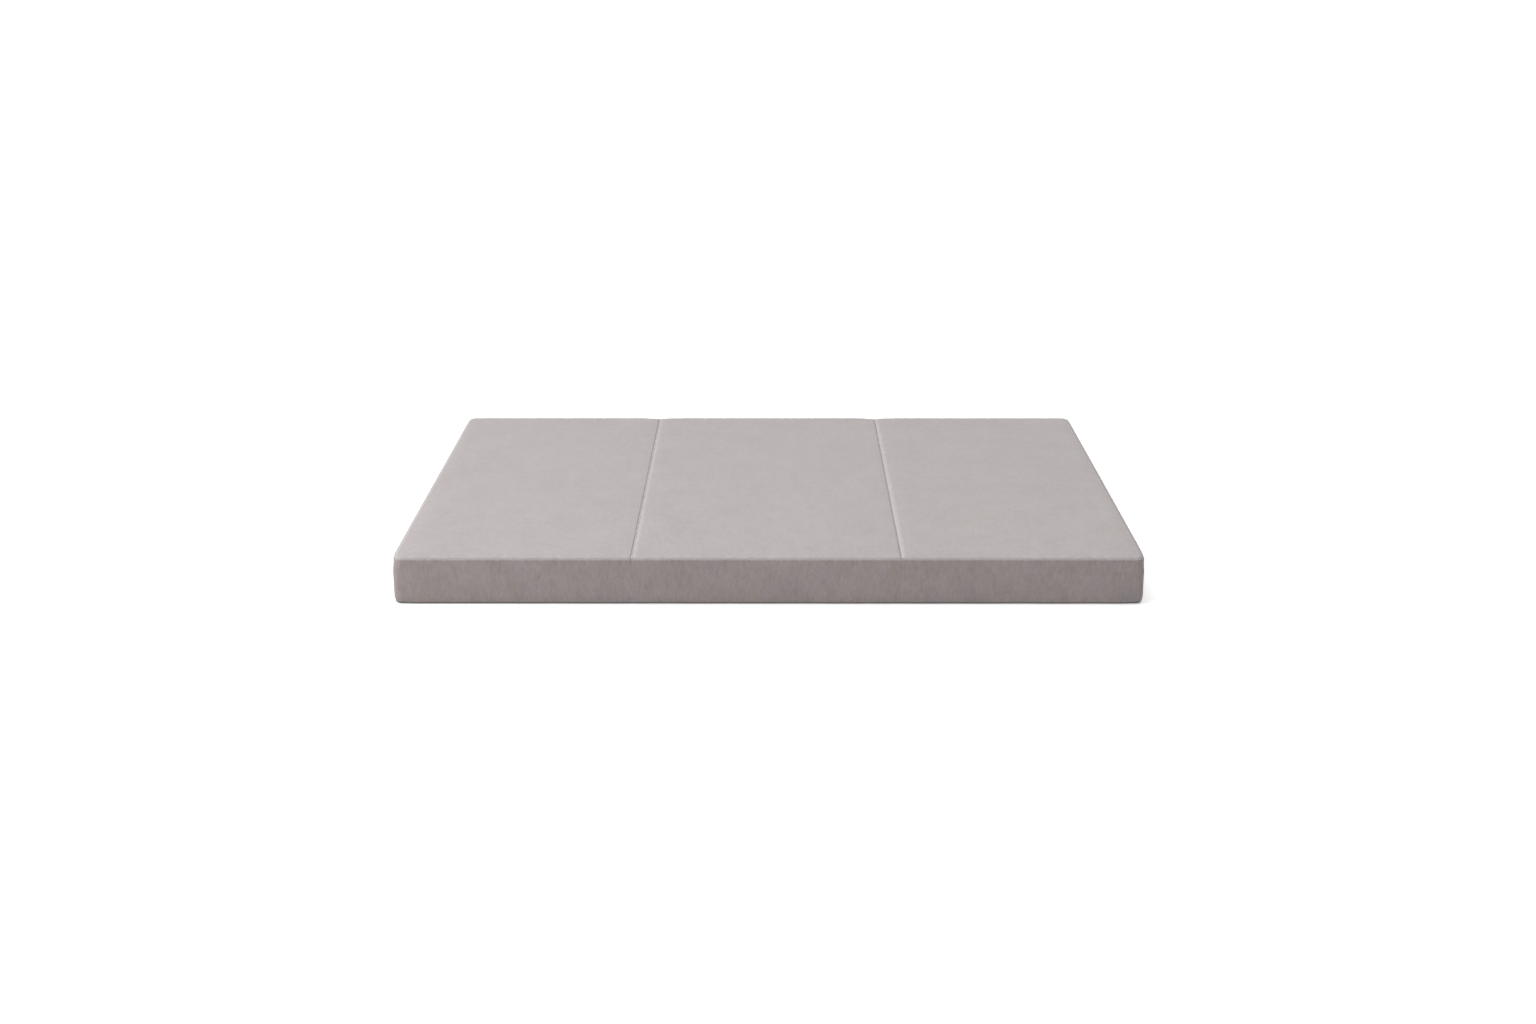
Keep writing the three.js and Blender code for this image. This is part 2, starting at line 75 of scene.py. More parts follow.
# Side of a panel: widest at the height where the foam layers meet, drawn in at the seams
CLEARANCE = 0.3 * MM
COVER_SHEET = 1.6 * MM
LINER_SHEET = 0.8 * MM
BASE_SHEET = 1.6 * MM
BINDING_SHEET = 1.6 * MM
BOTTOM_ROUND_INSET = 7 * MM
BOTTOM_ROUND_HEIGHT = 24 * MM
SEAM_DRAW = 2 * MM
BOW = 0.6 * MM
BOW_RUN = 35 * MM
CORNER_RADIUS = 24 * MM
CORNER_POWER = 3.2
CORNER_SQUARE_Z = 85 * MM
CORNER_TUCK = 1.6 * MM
CORNER_TUCK_REACH = 45 * MM
CORNER_TUCK_DROP_SHARE = 0.7
FOLD_CORNER_RADIUS = 1 * MM
INNER_CORNER_RADIUS = 6 * MM
CORNER_GROWTH_SHARE = 0.4

# Piping, the shoulder behind it and the crown of the sleeping surface
PIPING_RADIUS = 4 * MM
SKIRT_INSET = 2 * PIPING_RADIUS + CLEARANCE
SKIRT_HEIGHT = 1.6 * MM
SHOULDER_Z = SKIRT_Z + SKIRT_HEIGHT
SHOULDER_RISE = 6.6 * MM
SHOULDER_INSET = 2.8 * MM
FOLD_ROUND = 2.6 * MM
FOLD_MEET = 0.45 * MM
CROWN_REACH = 130 * MM
FOLD_CROWN_REACH = 90 * MM
CROWN_POWER = 3
CROWN_RISE = TOP_Z - SHOULDER_Z - SHOULDER_RISE

# The sewn seam: the cover's lip and the border's top close in on the piping
ROLL_RADIUS = PIPING_RADIUS - 0.4 * MM
ROLL_Z = PIPING_Z + 0.9 * MM
ROLL_INSET = PIPING_RADIUS - 0.3 * MM
LIP_INSET = 4.4 * MM
LIP_RISE = 3.75 * MM
LIP_TURN = 0.4
SEAM_TUCK = 0.05 * MM
BORDER_TOP_Z = SEAM_Z + 5.3 * MM
EDGE_SLOPE_DROP = 0.4 * MM
EDGE_SLOPE_REACH = 26 * MM

# Slopes beside a fold as drop and reach, and the wrinkles along it as share, length and seed
LEFT_SLOPE = (0.6 * MM, 4 * MM)
RIGHT_SLOPE = (2.2 * MM, 9 * MM)
WRINKLES = ((0.6, 34 * MM, 151), (0.4, 16 * MM, 157))
WRINKLE_SHARE = 0.4
FOLD_WANDER = 0.5 * MM
FOLD_WANDER_WAVE = (70 * MM, 163)
FOLD_WANDER_REACH = 12 * MM
BACK_SINK = 2.6 * MM
BACK_SINK_RUN = 70 * MM
BACK_SINK_DEPTH = 80 * MM
BACK_SINK_POWER = 1.6

LINER_DEPTH = COVER_SHEET + CLEARANCE
FOAM_DEPTH = LINER_DEPTH + LINER_SHEET + CLEARANCE
LINER_MOUTH_INSET = 150 * MM

# Steps of the meshes
CLOTH_STEP = 5.5 * MM
FOAM_STEP = 24 * MM
CORNER_CELLS = 5
WAVE_SPREAD = (0.6, 1.6)


class Panel(NamedTuple):
    name: str
    low: float
    high: float
    fold_low: bool
    fold_high: bool
    seed: int

    @property
    def body(self):
        return f"{self.name}_panel"

    @property
    def sides(self):
        """Names of its runs of outer sides."""
        return ["front", "back"] if self.fold_low and self.fold_high else [self.name]


PANELS = [
    Panel(name, *(corner.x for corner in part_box(border)), fold_low, fold_high, seed)
    for name, border, fold_low, fold_high, seed in (
        ("left", "left_border", False, True, 11),
        ("middle", "middle_front_border", True, True, 23),
        ("right", "right_border", True, False, 37),
    )
]


def ease(t):
    t = np.clip(t, 0, 1)
    return t * t * (3 - 2 * t)


def fade(distance, reach):
    """From 1 at no distance down to 0 at reach."""
    return 1 - ease(distance / reach)


def waves(points, length, seed, count=24):
    """A smooth random field over the points, mostly from -1 to 1, with waves of about that length."""
    rng = np.random.default_rng(seed)
    points = np.asarray(points, float)
    way = rng.normal(size=(count, points.shape[-1]))
    way /= np.linalg.norm(way, axis=1)[:, None]
    turns = 2 * math.pi / length * rng.uniform(*WAVE_SPREAD, count)
    phase = rng.uniform(0, 2 * math.pi, count)
    field = sum(np.cos(points @ (w * k) + p) for w, k, p in zip(way, turns, phase))
    return np.tanh(field / math.sqrt(count))


def bottom_ease(z):
    rise = np.clip(z / BOTTOM_ROUND_HEIGHT, 0, 1)
    return BOTTOM_ROUND_INSET * (1 - np.sqrt(1 - (1 - rise) ** 2))


def seam_draw(z):
    return SEAM_DRAW * np.clip((z - LAYER_Z) / (SEAM_Z - LAYER_Z), 0, None) ** 2


def side_inset(depth, z):
    return depth + bottom_ease(z - depth) + seam_draw(z)


def fold_slope(gap, y, at_high):
    """How far a cover slopes down at a distance from its fold: steeply on the left of a fold, farther
    and more gently on its right, with small wrinkles along it."""
    drop, reach = LEFT_SLOPE if at_high else RIGHT_SLOPE
    along = np.asarray(y)[..., None]
    wrinkle = sum(share * waves(along, length, seed + at_high) for share, length, seed in WRINKLES)
    uneven = 1 + WRINKLE_SHARE * wrinkle
    return drop * uneven * fade(gap, reach * uneven)


def fold_shift(gap, y):
    """How far a fold wanders aside along its length, dying out away from it."""
    wander = waves(np.asarray(y)[..., None], *FOLD_WANDER_WAVE)
    return FOLD_WANDER * wander * fade(gap, FOLD_WANDER_REACH)


def back_sink(x, y):
    """How far the top is sunk beside the folds, along the back edge only."""
    aside = np.min([np.abs(x - panel.high) for panel in PANELS if panel.fold_high], axis=0)
    beside = np.clip(1 - aside / BACK_SINK_RUN, 0, 1) ** BACK_SINK_POWER
    return BACK_SINK * beside * ease(1 - (HALF_DEPTH - y) / BACK_SINK_DEPTH)


def outer_radius(side):
    return max(CORNER_RADIUS - side, INNER_CORNER_RADIUS + CORNER_GROWTH_SHARE * side)


def fold_radius(fold):
    return FOLD_CORNER_RADIUS + CORNER_GROWTH_SHARE * fold


def squared_corners(points):
    """Front corners fill out towards a square below, and are tucked in round at the top seam."""
    points = np.array(points, float).reshape(-1, 3)
    high = ease((points[:, 2] - CORNER_SQUARE_Z) / (SEAM_Z - CORNER_SQUARE_Z))
    far = np.abs(points[:, 0]) - (HALF_LENGTH - CORNER_RADIUS)
    near = -points[:, 1] - (HALF_DEPTH - CORNER_RADIUS)
    reach = np.hypot(far, near)
    inside = np.flatnonzero((far > 0) & (near > 0) & (reach < 2 * CORNER_RADIUS))
    far, near, reach = far[inside], near[inside], reach[inside]
    grow = reach / (far**CORNER_POWER + near**CORNER_POWER) ** (1 / CORNER_POWER) - 1
    grow *= 1 - high[inside]
    points[inside, 0] += np.sign(points[inside, 0]) * far * grow
    points[inside, 1] -= near * grow
    away = np.hypot(HALF_LENGTH - np.abs(points[:, 0]), HALF_DEPTH + points[:, 1])
    tuck = CORNER_TUCK * high * np.exp(-((away / CORNER_TUCK_REACH) ** 2))
    points[:, 0] -= np.sign(points[:, 0]) * tuck
    points[:, 1] += tuck
    points[:, 2] -= CORNER_TUCK_DROP_SHARE * tuck
    return points


# Meshes


def make_mesh(name, vertices, faces, smooth_angle=40):
    """A new object of these vertices and faces, its normals outward and its sharp edges marked."""
    mesh = bpy.data.meshes.new(name)
    mesh.from_pydata(squared_corners(vertices).tolist(), [], [tuple(f) for f in faces])
    work = bmesh.new()
    work.from_mesh(mesh)
    bmesh.ops.recalc_face_normals(work, faces=work.faces)
    work.to_mesh(mesh)
    work.free()
    mesh.polygons.foreach_set("use_smooth", [True] * len(mesh.polygons))
    mesh.set_sharp_from_angle(angle=math.radians(smooth_angle))
    mesh.update()
    piece = bpy.data.objects.new(name, mesh)
    bpy.context.scene.collection.objects.link(piece)
    return piece


def grid_quads(index):
    """Quads between neighbours of a grid of vertex numbers."""
    quads = np.stack([index[:-1, :-1], index[1:, :-1], index[1:, 1:], index[:-1, 1:]], -1)
    return quads.reshape(-1, 4)


def ring_quads(index):
    """Quads between neighbours of closed rings of vertex numbers."""
    return grid_quads(np.concatenate([index, index[:, :1]], axis=1))


def tube_faces(count, sides):
    """Faces of a closed tube of that many rings, with a flat face on each end."""
    index = np.arange(count * sides).reshape(count, sides)
    return [*ring_quads(index), index[0], index[-1][::-1]]


def raised(places, z):
    """Plan positions with a height, as points."""
    height = np.broadcast_to(z, places.shape[:-1])
    return np.concatenate([places, height[..., None]], -1)


def sheet_solid(name, outer, inner, keep=None):
    """A closed sheet between two grids of points. Cells that keep leaves out are holes with a rim."""
    index = np.arange(outer.shape[0] * outer.shape[1]).reshape(outer.shape[:2])
    quads = grid_quads(index)
    if keep is not None:
        quads = quads[keep.ravel()]
    edges = {tuple(edge) for i in range(4) for edge in quads[:, [i, (i + 1) % 4]].tolist()}
    rim = sorted(edge for edge in edges if edge[::-1] not in edges)
    walls = [(a, b, b + index.size, a + index.size) for a, b in rim]
    faces = np.concatenate([quads, quads[:, ::-1] + index.size, walls])
    used, compact = np.unique(faces, return_inverse=True)
    points = np.concatenate([outer.reshape(-1, 3), inner.reshape(-1, 3)])[used]
    return make_mesh(name, points, compact.reshape(faces.shape))


def repeat_solid(name, vertices, faces, places, axes):
    """Copies of one small closed shape at each place, turned to that place's three axes, as one mesh."""
    points = np.einsum("vk,pkc->pvc", vertices, axes) + places[:, None, :]
    every = [face + i * len(vertices) for i in range(len(places)) for face in faces]
    return make_mesh(name, points, every)


# Plan of a panel


def plan(panel, side, fold, step):
    """Plan positions of a panel's grid, its outer sides pulled in by side and its folds by fold."""
    columns = 2 * CORNER_CELLS + math.ceil((panel.high - panel.low) / step)
    rows = 2 * CORNER_CELLS + math.ceil(2 * HALF_DEPTH / step)
    x_low = panel.low + (fold if panel.fold_low else side + BOW)
    x_high = panel.high - (fold if panel.fold_high else side + BOW)
    half = HALF_DEPTH - side - BOW
    r_low = fold_radius(fold) if panel.fold_low else outer_radius(side)
    r_high = fold_radius(fold) if panel.fold_high else outer_radius(side)
    corner = np.arange(CORNER_CELLS) / CORNER_CELLS

    def spread(count, low, high, first, last):
        middle = np.linspace(0, 1, count - 2 * CORNER_CELLS + 1)[:, None]
        straight = low + first + middle * (high - last - low - first)
        ends = low + first * corner[:, None], high - last * corner[::-1, None]
        return np.concatenate([ends[0], straight, ends[1]])

    x = spread(columns, x_low, x_high, np.array([r_low]), np.array([r_high]))
    share = np.clip((x[:, 0] - x_low - r_low) / (x_high - r_high - x_low - r_low), 0, 1)
    radius = r_low + share * (r_high - r_low)
    y = spread(rows, -half, half, radius, radius).T
    x = np.broadcast_to(x, y.shape)
    radius = radius[:, None]

    # Corner blocks turn from squares into quarter discs
    centre_x = np.clip(x, x_low + r_low, x_high - r_high)
    centre_y = np.clip(y, -half + radius, half - radius)
    a, b = np.abs(x - centre_x) / radius, np.abs(y - centre_y) / radius
    most, least = np.maximum(a, b), np.minimum(a, b)
    turn = math.pi / 4 * np.divide(least, most, out=np.zeros_like(most), where=most > 0)
    far, near = most * np.cos(turn), most * np.sin(turn)
    round_x = centre_x + np.sign(x - centre_x) * radius * np.where(a >= b, far, near)
    round_y = centre_y + np.sign(y - centre_y) * radius * np.where(a >= b, near, far)

    # Outer sides bow out a little between their corners
    along_x = ease(np.minimum(x - x_low - r_low, x_high - r_high - x) / BOW_RUN)
    along_y = ease((half - radius - np.abs(y)) / BOW_RUN)
    at_low = 0 if panel.fold_low else (x_high - x) / (x_high - x_low)
    at_high = 0 if panel.fold_high else (x - x_low) / (x_high - x_low)
    round_x = round_x + BOW * along_y * (at_high - at_low)
    round_y = round_y + BOW * along_x * y / half
    return np.stack([round_x, round_y], -1)


def boundary(grid):
    """The rim of a grid, counter-clockwise from its first corner."""
    return np.concatenate([grid[:, 0], grid[-1, 1:], grid[-2::-1, -1], grid[0, -2:0:-1]])


class Ring(NamedTuple):
    """Insets of the outer sides and folds, and a height or a function that gives one."""
    side: float
    fold: float
    z: object


def loft(name, panel, rings, step, change=lambda points: points):
    """A closed solid through rings of a panel's plan. The first and last ring are filled as grids, and
    change moves all points in the end."""
    grids = [plan(panel, ring.side, ring.fold, step) for ring in rings]
    index = np.arange(grids[0][..., 0].size).reshape(grids[0].shape[:2])
    rims = [grids[0], *(boundary(grid) for grid in grids[1:-1]), grids[-1]]
    heights = [ring.z(rim) if callable(ring.z) else ring.z for ring, rim in zip(rings, rims)]
    points = [raised(rim, height).reshape(-1, 3) for rim, height in zip(rims, heights)]
    between = index.size + np.arange((len(rings) - 2) * len(boundary(index)))
    top = index + index.size + between.size
    loops = [boundary(index)[None], between.reshape(-1, len(boundary(index))), boundary(top)[None]]
    faces = [grid_quads(index), grid_quads(top), ring_quads(np.concatenate(loops))]
    return make_mesh(name, change(np.concatenate(points)), np.concatenate(faces))


# Outer runs
ZIP_SPANS = {p.name: [c.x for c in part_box(f"{p.name}_zip_upper_tape")] for p in PANELS}
ZIP_LOW_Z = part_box("left_zip_lower_tape")[0].z - CLEARANCE
ZIP_HIGH_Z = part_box("left_zip_upper_tape")[1].z + CLEARANCE
HEM_WIDTH = 2.5 * MM
STATIONS_BY_FOLD = np.array([0, 0.25, 0.7, 1.5, 2.8, 4]) * MM
LEAST_STEP = 0.8 * MM


class Run:
    """Outer sides of a panel from fold face to fold face: places, outward normals and distance run."""

    def __init__(self, panel, side):
        low = panel.low + (0 if panel.fold_low else BOW)
        high = panel.high - (0 if panel.fold_high else BOW)
        y = HALF_DEPTH - BOW
        stops = {
            "front": [(low, -y), (high, -y)],
            "back": [(high, y), (low, y)],
            "left": [(high, y), (low, y), (low, -y), (high, -y)],
            "right": [(low, -y), (high, -y), (high, y), (low, y)],
        }[side]
        self.panel = panel
        self.side = side
        self.stem = panel.name if side == panel.name else f"{panel.name}_{side}"
        self._sample([Vector(stop) for stop in stops])
        steps = np.linalg.norm(np.diff(self.places, axis=0), axis=1)
        self.at = np.concatenate([[0], np.cumsum(steps)])
        self.length = self.at[-1]
        self.from_ends = np.minimum(self.at, self.length - self.at)

    def _sample(self, stops):
        places, normals = [], []
        last = len(stops) - 2
        for i, (start, end) in enumerate(zip(stops, stops[1:])):
            along = (end - start).normalized()
            normal = Vector((along.y, -along.x))
            if i > 0:
                start = start + along * CORNER_RADIUS
            if i < last:
                end = end - along * CORNER_RADIUS
            length = (end - start).length
            even = np.linspace(0, length, math.ceil(length / CLOTH_STEP) + 1)
            marks = self._marks_on(start, along, length, i, last)
            if len(marks):
                even = even[np.min(np.abs(even[:, None] - marks[None, :]), axis=1) > LEAST_STEP]
            run = np.sort(np.concatenate([even, marks]))
            bow = BOW * ease(np.minimum(run, length - run) / BOW_RUN)
            side = np.array(start) + run[:, None] * np.array(along)
            places.append(side + bow[:, None] * np.array(normal))
            normals.append(np.broadcast_to(np.array(normal), (len(run), 2)))
            if i < last:
                centre = end - normal * CORNER_RADIUS
                turn = np.linspace(0, math.pi / 2, 2 * CORNER_CELLS + 2)[1:-1, None]
                spoke = np.array(normal) * np.cos(turn) + np.array(along) * np.sin(turn)
                places.append(np.array(centre) + CORNER_RADIUS * spoke)
                normals.append(spoke)
        self.places = np.concatenate(places)
        self.normals = np.concatenate(normals)

    def _marks_on(self, start, along, length, i, last):
        """Distances along one side where a station has to be: by the folds and round the zip opening."""
        marks = []
        if i == 0:
            marks.extend(STATIONS_BY_FOLD)
        if i == last:
            marks.extend(length - STATIONS_BY_FOLD)
        if along.x < 0:
            low, high = ZIP_SPANS[self.panel.name]
            low, high = low - CLEARANCE, high + CLEARANCE
            edges = [low - 2 * HEM_WIDTH, low - HEM_WIDTH, low]
            edges += [high, high + HEM_WIDTH, high + 2 * HEM_WIDTH]
            marks.extend((x - start.x) / along.x for x in edges)
        return np.array(sorted(m for m in marks if 0 <= m <= length))

    def where(self, at):
        """Place, outward normal and direction at distances along the run."""
        place = np.stack([np.interp(at, self.at, self.places[:, k]) for k in (0, 1)], -1)
        normal = np.stack([np.interp(at, self.at, self.normals[:, k]) for k in (0, 1)], -1)
        normal /= np.linalg.norm(normal, axis=1)[:, None]
        return place, normal, np.stack([-normal[:, 1], normal[:, 0]], -1)

    def waves(self, length, seed):
        return waves(self.at[:, None], length, seed)

    def sweep(self, inset, z):
        """Points at these insets and heights, given for each station and each point of a section."""
        inset, z = np.broadcast_arrays(inset, z)
        shape = (len(self.places), inset.shape[-1])
        inset, z = np.broadcast_to(inset, shape), np.broadcast_to(z, shape)
        return raised(self.places[:, None] - self.normals[:, None] * inset[..., None], z)


# Gathers: the seam pulls the cloth in at places of its own, alike on cover, piping and border
PUCKER_GAPS = (9 * MM, 46 * MM)
PUCKER_WIDTHS = (1.8 * MM, 4.2 * MM)
PUCKER_DEPTHS = (0.25, 1)
PUCKER_DEPTH_POWER = 1.5
MOST_PUCKERS = 400
GATHER_SEED = 140


class Gathers:
    def __init__(self, run, seed):
        rng = np.random.default_rng(seed)
        at = np.cumsum(rng.uniform(*PUCKER_GAPS, MOST_PUCKERS))
        self.at = at[at < run.length - PUCKER_GAPS[0]]
        self.depth = rng.uniform(*PUCKER_DEPTHS, len(self.at)) ** PUCKER_DEPTH_POWER
        self.width = rng.uniform(*PUCKER_WIDTHS, len(self.at))
        self.run = run

    def along(self):
        """How deep the gathers are at the stations of their run, from 0 to about 1."""
        near = np.exp(-(((self.run.at[:, None] - self.at) / self.width) ** 2))
        return (near * self.depth).sum(axis=1)

    def over(self, places, reach):
        """The same over plan positions, fading over reach behind the seam."""
        total = np.zeros(len(places))
        for place, normal, way, depth, width in zip(*self.run.where(self.at), self.depth, self.width):
            near = np.flatnonzero(np.abs(places - place).max(axis=1) < 3 * reach)
            away = places[near] - place
            behind = np.maximum(-away @ normal, 0)
            spread = width * (1 + behind / reach)
            total[near] += depth * np.exp(-((away @ way / spread) ** 2) - (behind / reach) ** 2)
        return total


RUNS = {(p.name, side): Run(p, side) for p in PANELS for side in p.sides}
GATHERS = {key: Gathers(run, GATHER_SEED + i) for i, (key, run) in enumerate(RUNS.items())}


# Materials


class Finish:
    """A material with one Principled shader, and short ways to add the nodes that drive it."""

    def __init__(self, name, **values):
        self.material = bpy.data.materials.new(name)
        self.material.use_nodes = True
        self.tree = self.material.node_tree
        self.shader = self.tree.nodes["Principled BSDF"]
        self.place = self.add("ShaderNodeTexCoord").outputs["Object"]
        for socket, value in values.items():
            self.shader.inputs[socket.replace("_", " ")].default_value = value

    def add(self, kind, **inputs):
        node = self.tree.nodes.new(kind)
        for key, value in inputs.items():
            self.feed(node.inputs[key.replace("_", " ")], value)
        return node

    def feed(self, socket, value):
        if isinstance(value, bpy.types.NodeSocket):
            self.tree.links.new(value, socket)
        else:
            socket.default_value = value

    def set(self, socket, value):
        self.feed(self.shader.inputs[socket], value)

    def math(self, operation, *values):
        node = self.tree.nodes.new("ShaderNodeMath")
        node.operation = operation
        for socket, value in zip(node.inputs, values):
            self.feed(socket, value)
        return node.outputs[0]

    def plus(self, value, amount, base):
        """Value times amount, added to base."""
        return self.math("MULTIPLY_ADD", value, amount, base)

    def noise(self, scale, detail=3.0, stretch=(1, 1, 1), roughness=0.5):
        place = self.place
        if stretch != (1, 1, 1):
            place = self.add("ShaderNodeMapping", Vector=place, Scale=stretch).outputs[0]
        node = self.add("ShaderNodeTexNoise", Vector=place, Scale=scale, Detail=detail, Roughness=roughness)
        return node.outputs[0]

    def ramp(self, value, low, high, to_low=0.0, to_high=1.0):
        node = self.add("ShaderNodeMapRange", Value=value)
        ends = {"From Min": low, "From Max": high, "To Min": to_low, "To Max": to_high}
        for key, number in ends.items():
            node.inputs[key].default_value = number
        return node.outputs[0]

    def mix(self, factor, a, b, blend="MIX"):
        node = self.tree.nodes.new("ShaderNodeMix")
        node.data_type = "RGBA"
        node.blend_type = blend
        self.feed(node.inputs[0], factor)
        for socket, value in ((node.inputs[6], a), (node.inputs[7], b)):
            self.feed(socket, (*value, 1) if isinstance(value, tuple) else value)
        return node.outputs[2]

    def toned(self, colour, tone):
        """A colour times a tone."""
        node = self.tree.nodes.new("ShaderNodeCombineColor")
        for socket in node.inputs:
            self.feed(socket, tone)
        return self.mix(1.0, colour, node.outputs[0], "MULTIPLY")

    def finish(self, colour, roughness, height, depth, strength):
        """Sets the colour, the roughness and a bump of that depth, and gives the material."""
        self.set("Base Color", colour)
        self.set("Roughness", roughness)
        bump = self.add("ShaderNodeBump", Height=height, Distance=depth, Strength=strength)
        self.set("Normal", bump.outputs[0])
        return self.material


# Layers of a brushed cloth, coarse to fine: noise scale, detail, stretch along the brushing, roughness
# and how much each adds to the tone
CLOTH_LAYERS = {
    "patches": (7.0, 3.0, 1.0, 0.5, 0.10),
    "blotches": (26.0, 4.0, 0.6, 0.62, 0.15),
    "mottle": (75.0, 3.0, 0.7, 0.6, 0.12),
    "strokes": (110.0, 3.0, 0.35, 0.6, 0.13),
    "streaks": (300.0, 2.0, 0.16, 0.5, 0.14),
    "nap": (520.0, 3.0, 0.6, 0.7, 0.28),
}
# Light and dark flecks: noise scale, stretch, noise where they start and where they are full, and tone
CLOTH_FLECKS = ((310.0, 0.45, 0.70, 0.80, 0.16), (270.0, 0.6, 0.30, 0.20, -0.13))
CLOTH_HUE_NOISE = (22.0, 0.6)
RIB_SCALE = 1400 / 6.283


def brushed_cloth(name, taupe, mauve, streak, contrast=1.0, side_shade=0.17):
    """Brushed cloth with a short nap: mottled in patches, streaked the way it was brushed. Painted light
    and shade from the left: slopes that look to -X are painted lighter and those that look to +X painted
    darker; the last argument sets how much."""
    cloth = Finish(name, Sheen_Weight=0.35, Sheen_Roughness=0.4, Specular_IOR_Level=0.2)
    cloth.set("Sheen Tint", (1.0, 0.95, 0.94, 1))

    def noise(scale, detail, share, roughness=0.5):
        stretch = tuple(share if axis == streak else 1.0 for axis in "xyz")
        return cloth.noise(scale, detail, stretch, roughness)

    layers = {}
    tone = 1.0
    for layer, (scale, detail, share, roughness, amount) in CLOTH_LAYERS.items():
        layers[layer] = noise(scale, detail, share, roughness)
        tone = cloth.plus(cloth.math("SUBTRACT", layers[layer], 0.5), amount * contrast, tone)
    for scale, share, start, full, amount in CLOTH_FLECKS:
        tone = cloth.plus(cloth.ramp(noise(scale, 1.0, share), start, full), amount * contrast, tone)
    # Painted side light: the tone is made lighter on faces that look to -X and darker on those that look to
    # +X.
    facing = cloth.add("ShaderNodeTexCoord").outputs["Normal"]
    aside = cloth.add("ShaderNodeSeparateXYZ", Vector=facing).outputs[0]
    tone = cloth.math("MULTIPLY", tone, cloth.ramp(aside, -0.25, 0.25, 1 + side_shade, 1 - side_shade))
    scale, share = CLOTH_HUE_NOISE
    hue = cloth.ramp(noise(scale, 3.0, share), 0.38, 0.62)
    roughness = cloth.ramp(layers["blotches"], 0.3, 0.7, 0.84, 0.98)
    height = cloth.plus(layers["streaks"], 0.6, layers["nap"])
    return cloth.finish(cloth.toned(cloth.mix(hue, taupe, mauve), tone), roughness, height, 0.5 * MM, 0.35)


def woven_tape(name, colour):
    """Narrow woven tape with fine ribs across it."""
    tape = Finish(name, Sheen_Weight=0.12, Sheen_Roughness=0.5, Specular_IOR_Level=0.3)
    ribs = tape.add("ShaderNodeTexWave", Vector=tape.place, Scale=RIB_SCALE, Distortion=0.6, Detail=1.0)
    fibre = tape.noise(700.0)
    tone = tape.plus(ribs.outputs["Fac"], 0.10, tape.plus(fibre, 0.22, 0.80))
    roughness = tape.ramp(fibre, 0.3, 0.7, 0.78, 0.94)
    height = tape.plus(fibre, 0.5, ribs.outputs["Fac"])
    return tape.finish(tape.toned(colour, tone), roughness, height, 0.25 * MM, 0.5)


def non_slip_cloth(name, cloth_colour, dot_colour, spacing):
    """Dark base cloth with rows of small rubber dots."""
    base = Finish(name, Specular_IOR_Level=0.3)
    cells = base.add("ShaderNodeTexVoronoi", Vector=base.place, Scale=1 / spacing, Randomness=0.0)
    cells.voronoi_dimensions = "2D"
    dots = base.ramp(cells.outputs["Distance"], 0.24, 0.17)
    weave = base.noise(800.0)
    tone = base.plus(base.noise(12.0), 0.24, base.plus(weave, 0.5, 0.75))
    colour = base.mix(dots, base.toned(cloth_colour, tone), dot_colour)
    roughness = base.ramp(dots, 0.0, 1.0, 0.9, 0.5)
    return base.finish(colour, roughness, base.plus(weave, 0.25, dots), 0.5 * MM, 0.6)


def knitted_cloth(name, colour):
    knit = Finish(name, Sheen_Weight=0.1, Specular_IOR_Level=0.3)
    loops = knit.add("ShaderNodeTexWave", Vector=knit.place, Scale=110.0, Distortion=3.0, Detail=2.0)
    fibre = knit.noise(500.0)
    roughness = knit.ramp(fibre, 0.3, 0.7, 0.85, 0.97)
    height = knit.plus(loops.outputs["Fac"], 0.6, fibre)
    return knit.finish(knit.toned(colour, knit.plus(fibre, 0.12, 0.92)), roughness, height, 0.3 * MM, 0.4)


def open_foam(name, colour, pore):
    """Open-cell foam: small sunken pores, painted darker as painted shade in the cells."""
    foam = Finish(name, Specular_IOR_Level=0.2, Subsurface_Weight=0.1)
    foam.set("Subsurface Radius", (0.004, 0.003, 0.002))
    pores = foam.add("ShaderNodeTexVoronoi", Vector=foam.place, Scale=1 / pore)
    depth = foam.ramp(pores.outputs["Distance"], 0.12, 0.55)
    # Painted shade: the tone is darker towards the centre of each pore.
    tone = foam.plus(foam.noise(30.0), 0.08, foam.plus(depth, 0.18, 0.82))
    roughness = foam.ramp(depth, 0.0, 1.0, 1.0, 0.88)
    return foam.finish(foam.toned(colour, tone), roughness, depth, 0.4 * MM, 0.6)


def moulded_plastic(name, colour):
    plastic = Finish(name, Specular_IOR_Level=0.5)
    grain = plastic.noise(600.0)
    tone = plastic.plus(grain, 0.16, 0.92)
    roughness = plastic.ramp(grain, 0.3, 0.7, 0.38, 0.52)
    return plastic.finish(plastic.toned(colour, tone), roughness, grain, 0.05 * MM, 0.3)


def brushed_metal(name, colour):
    metal = Finish(name, Metallic=1.0)
    scratches = metal.noise(900.0, stretch=(0.06, 1, 1))
    wear = metal.noise(180.0)
    tone = metal.plus(wear, 0.20, 0.86)
    roughness = metal.ramp(metal.math("ADD", scratches, wear), 0.6, 1.4, 0.26, 0.44)
    return metal.finish(metal.toned(colour, tone), roughness, scratches, 0.03 * MM, 0.4)


def twisted_thread(name, colour):
    thread = Finish(name, Sheen_Weight=0.15, Specular_IOR_Level=0.35)
    twist = thread.noise(2400.0, 2.0)
    roughness = thread.ramp(twist, 0.3, 0.7, 0.62, 0.8)
    colour = thread.toned(colour, thread.plus(twist, 0.4, 0.8))
    return thread.finish(colour, roughness, twist, 0.1 * MM, 0.5)


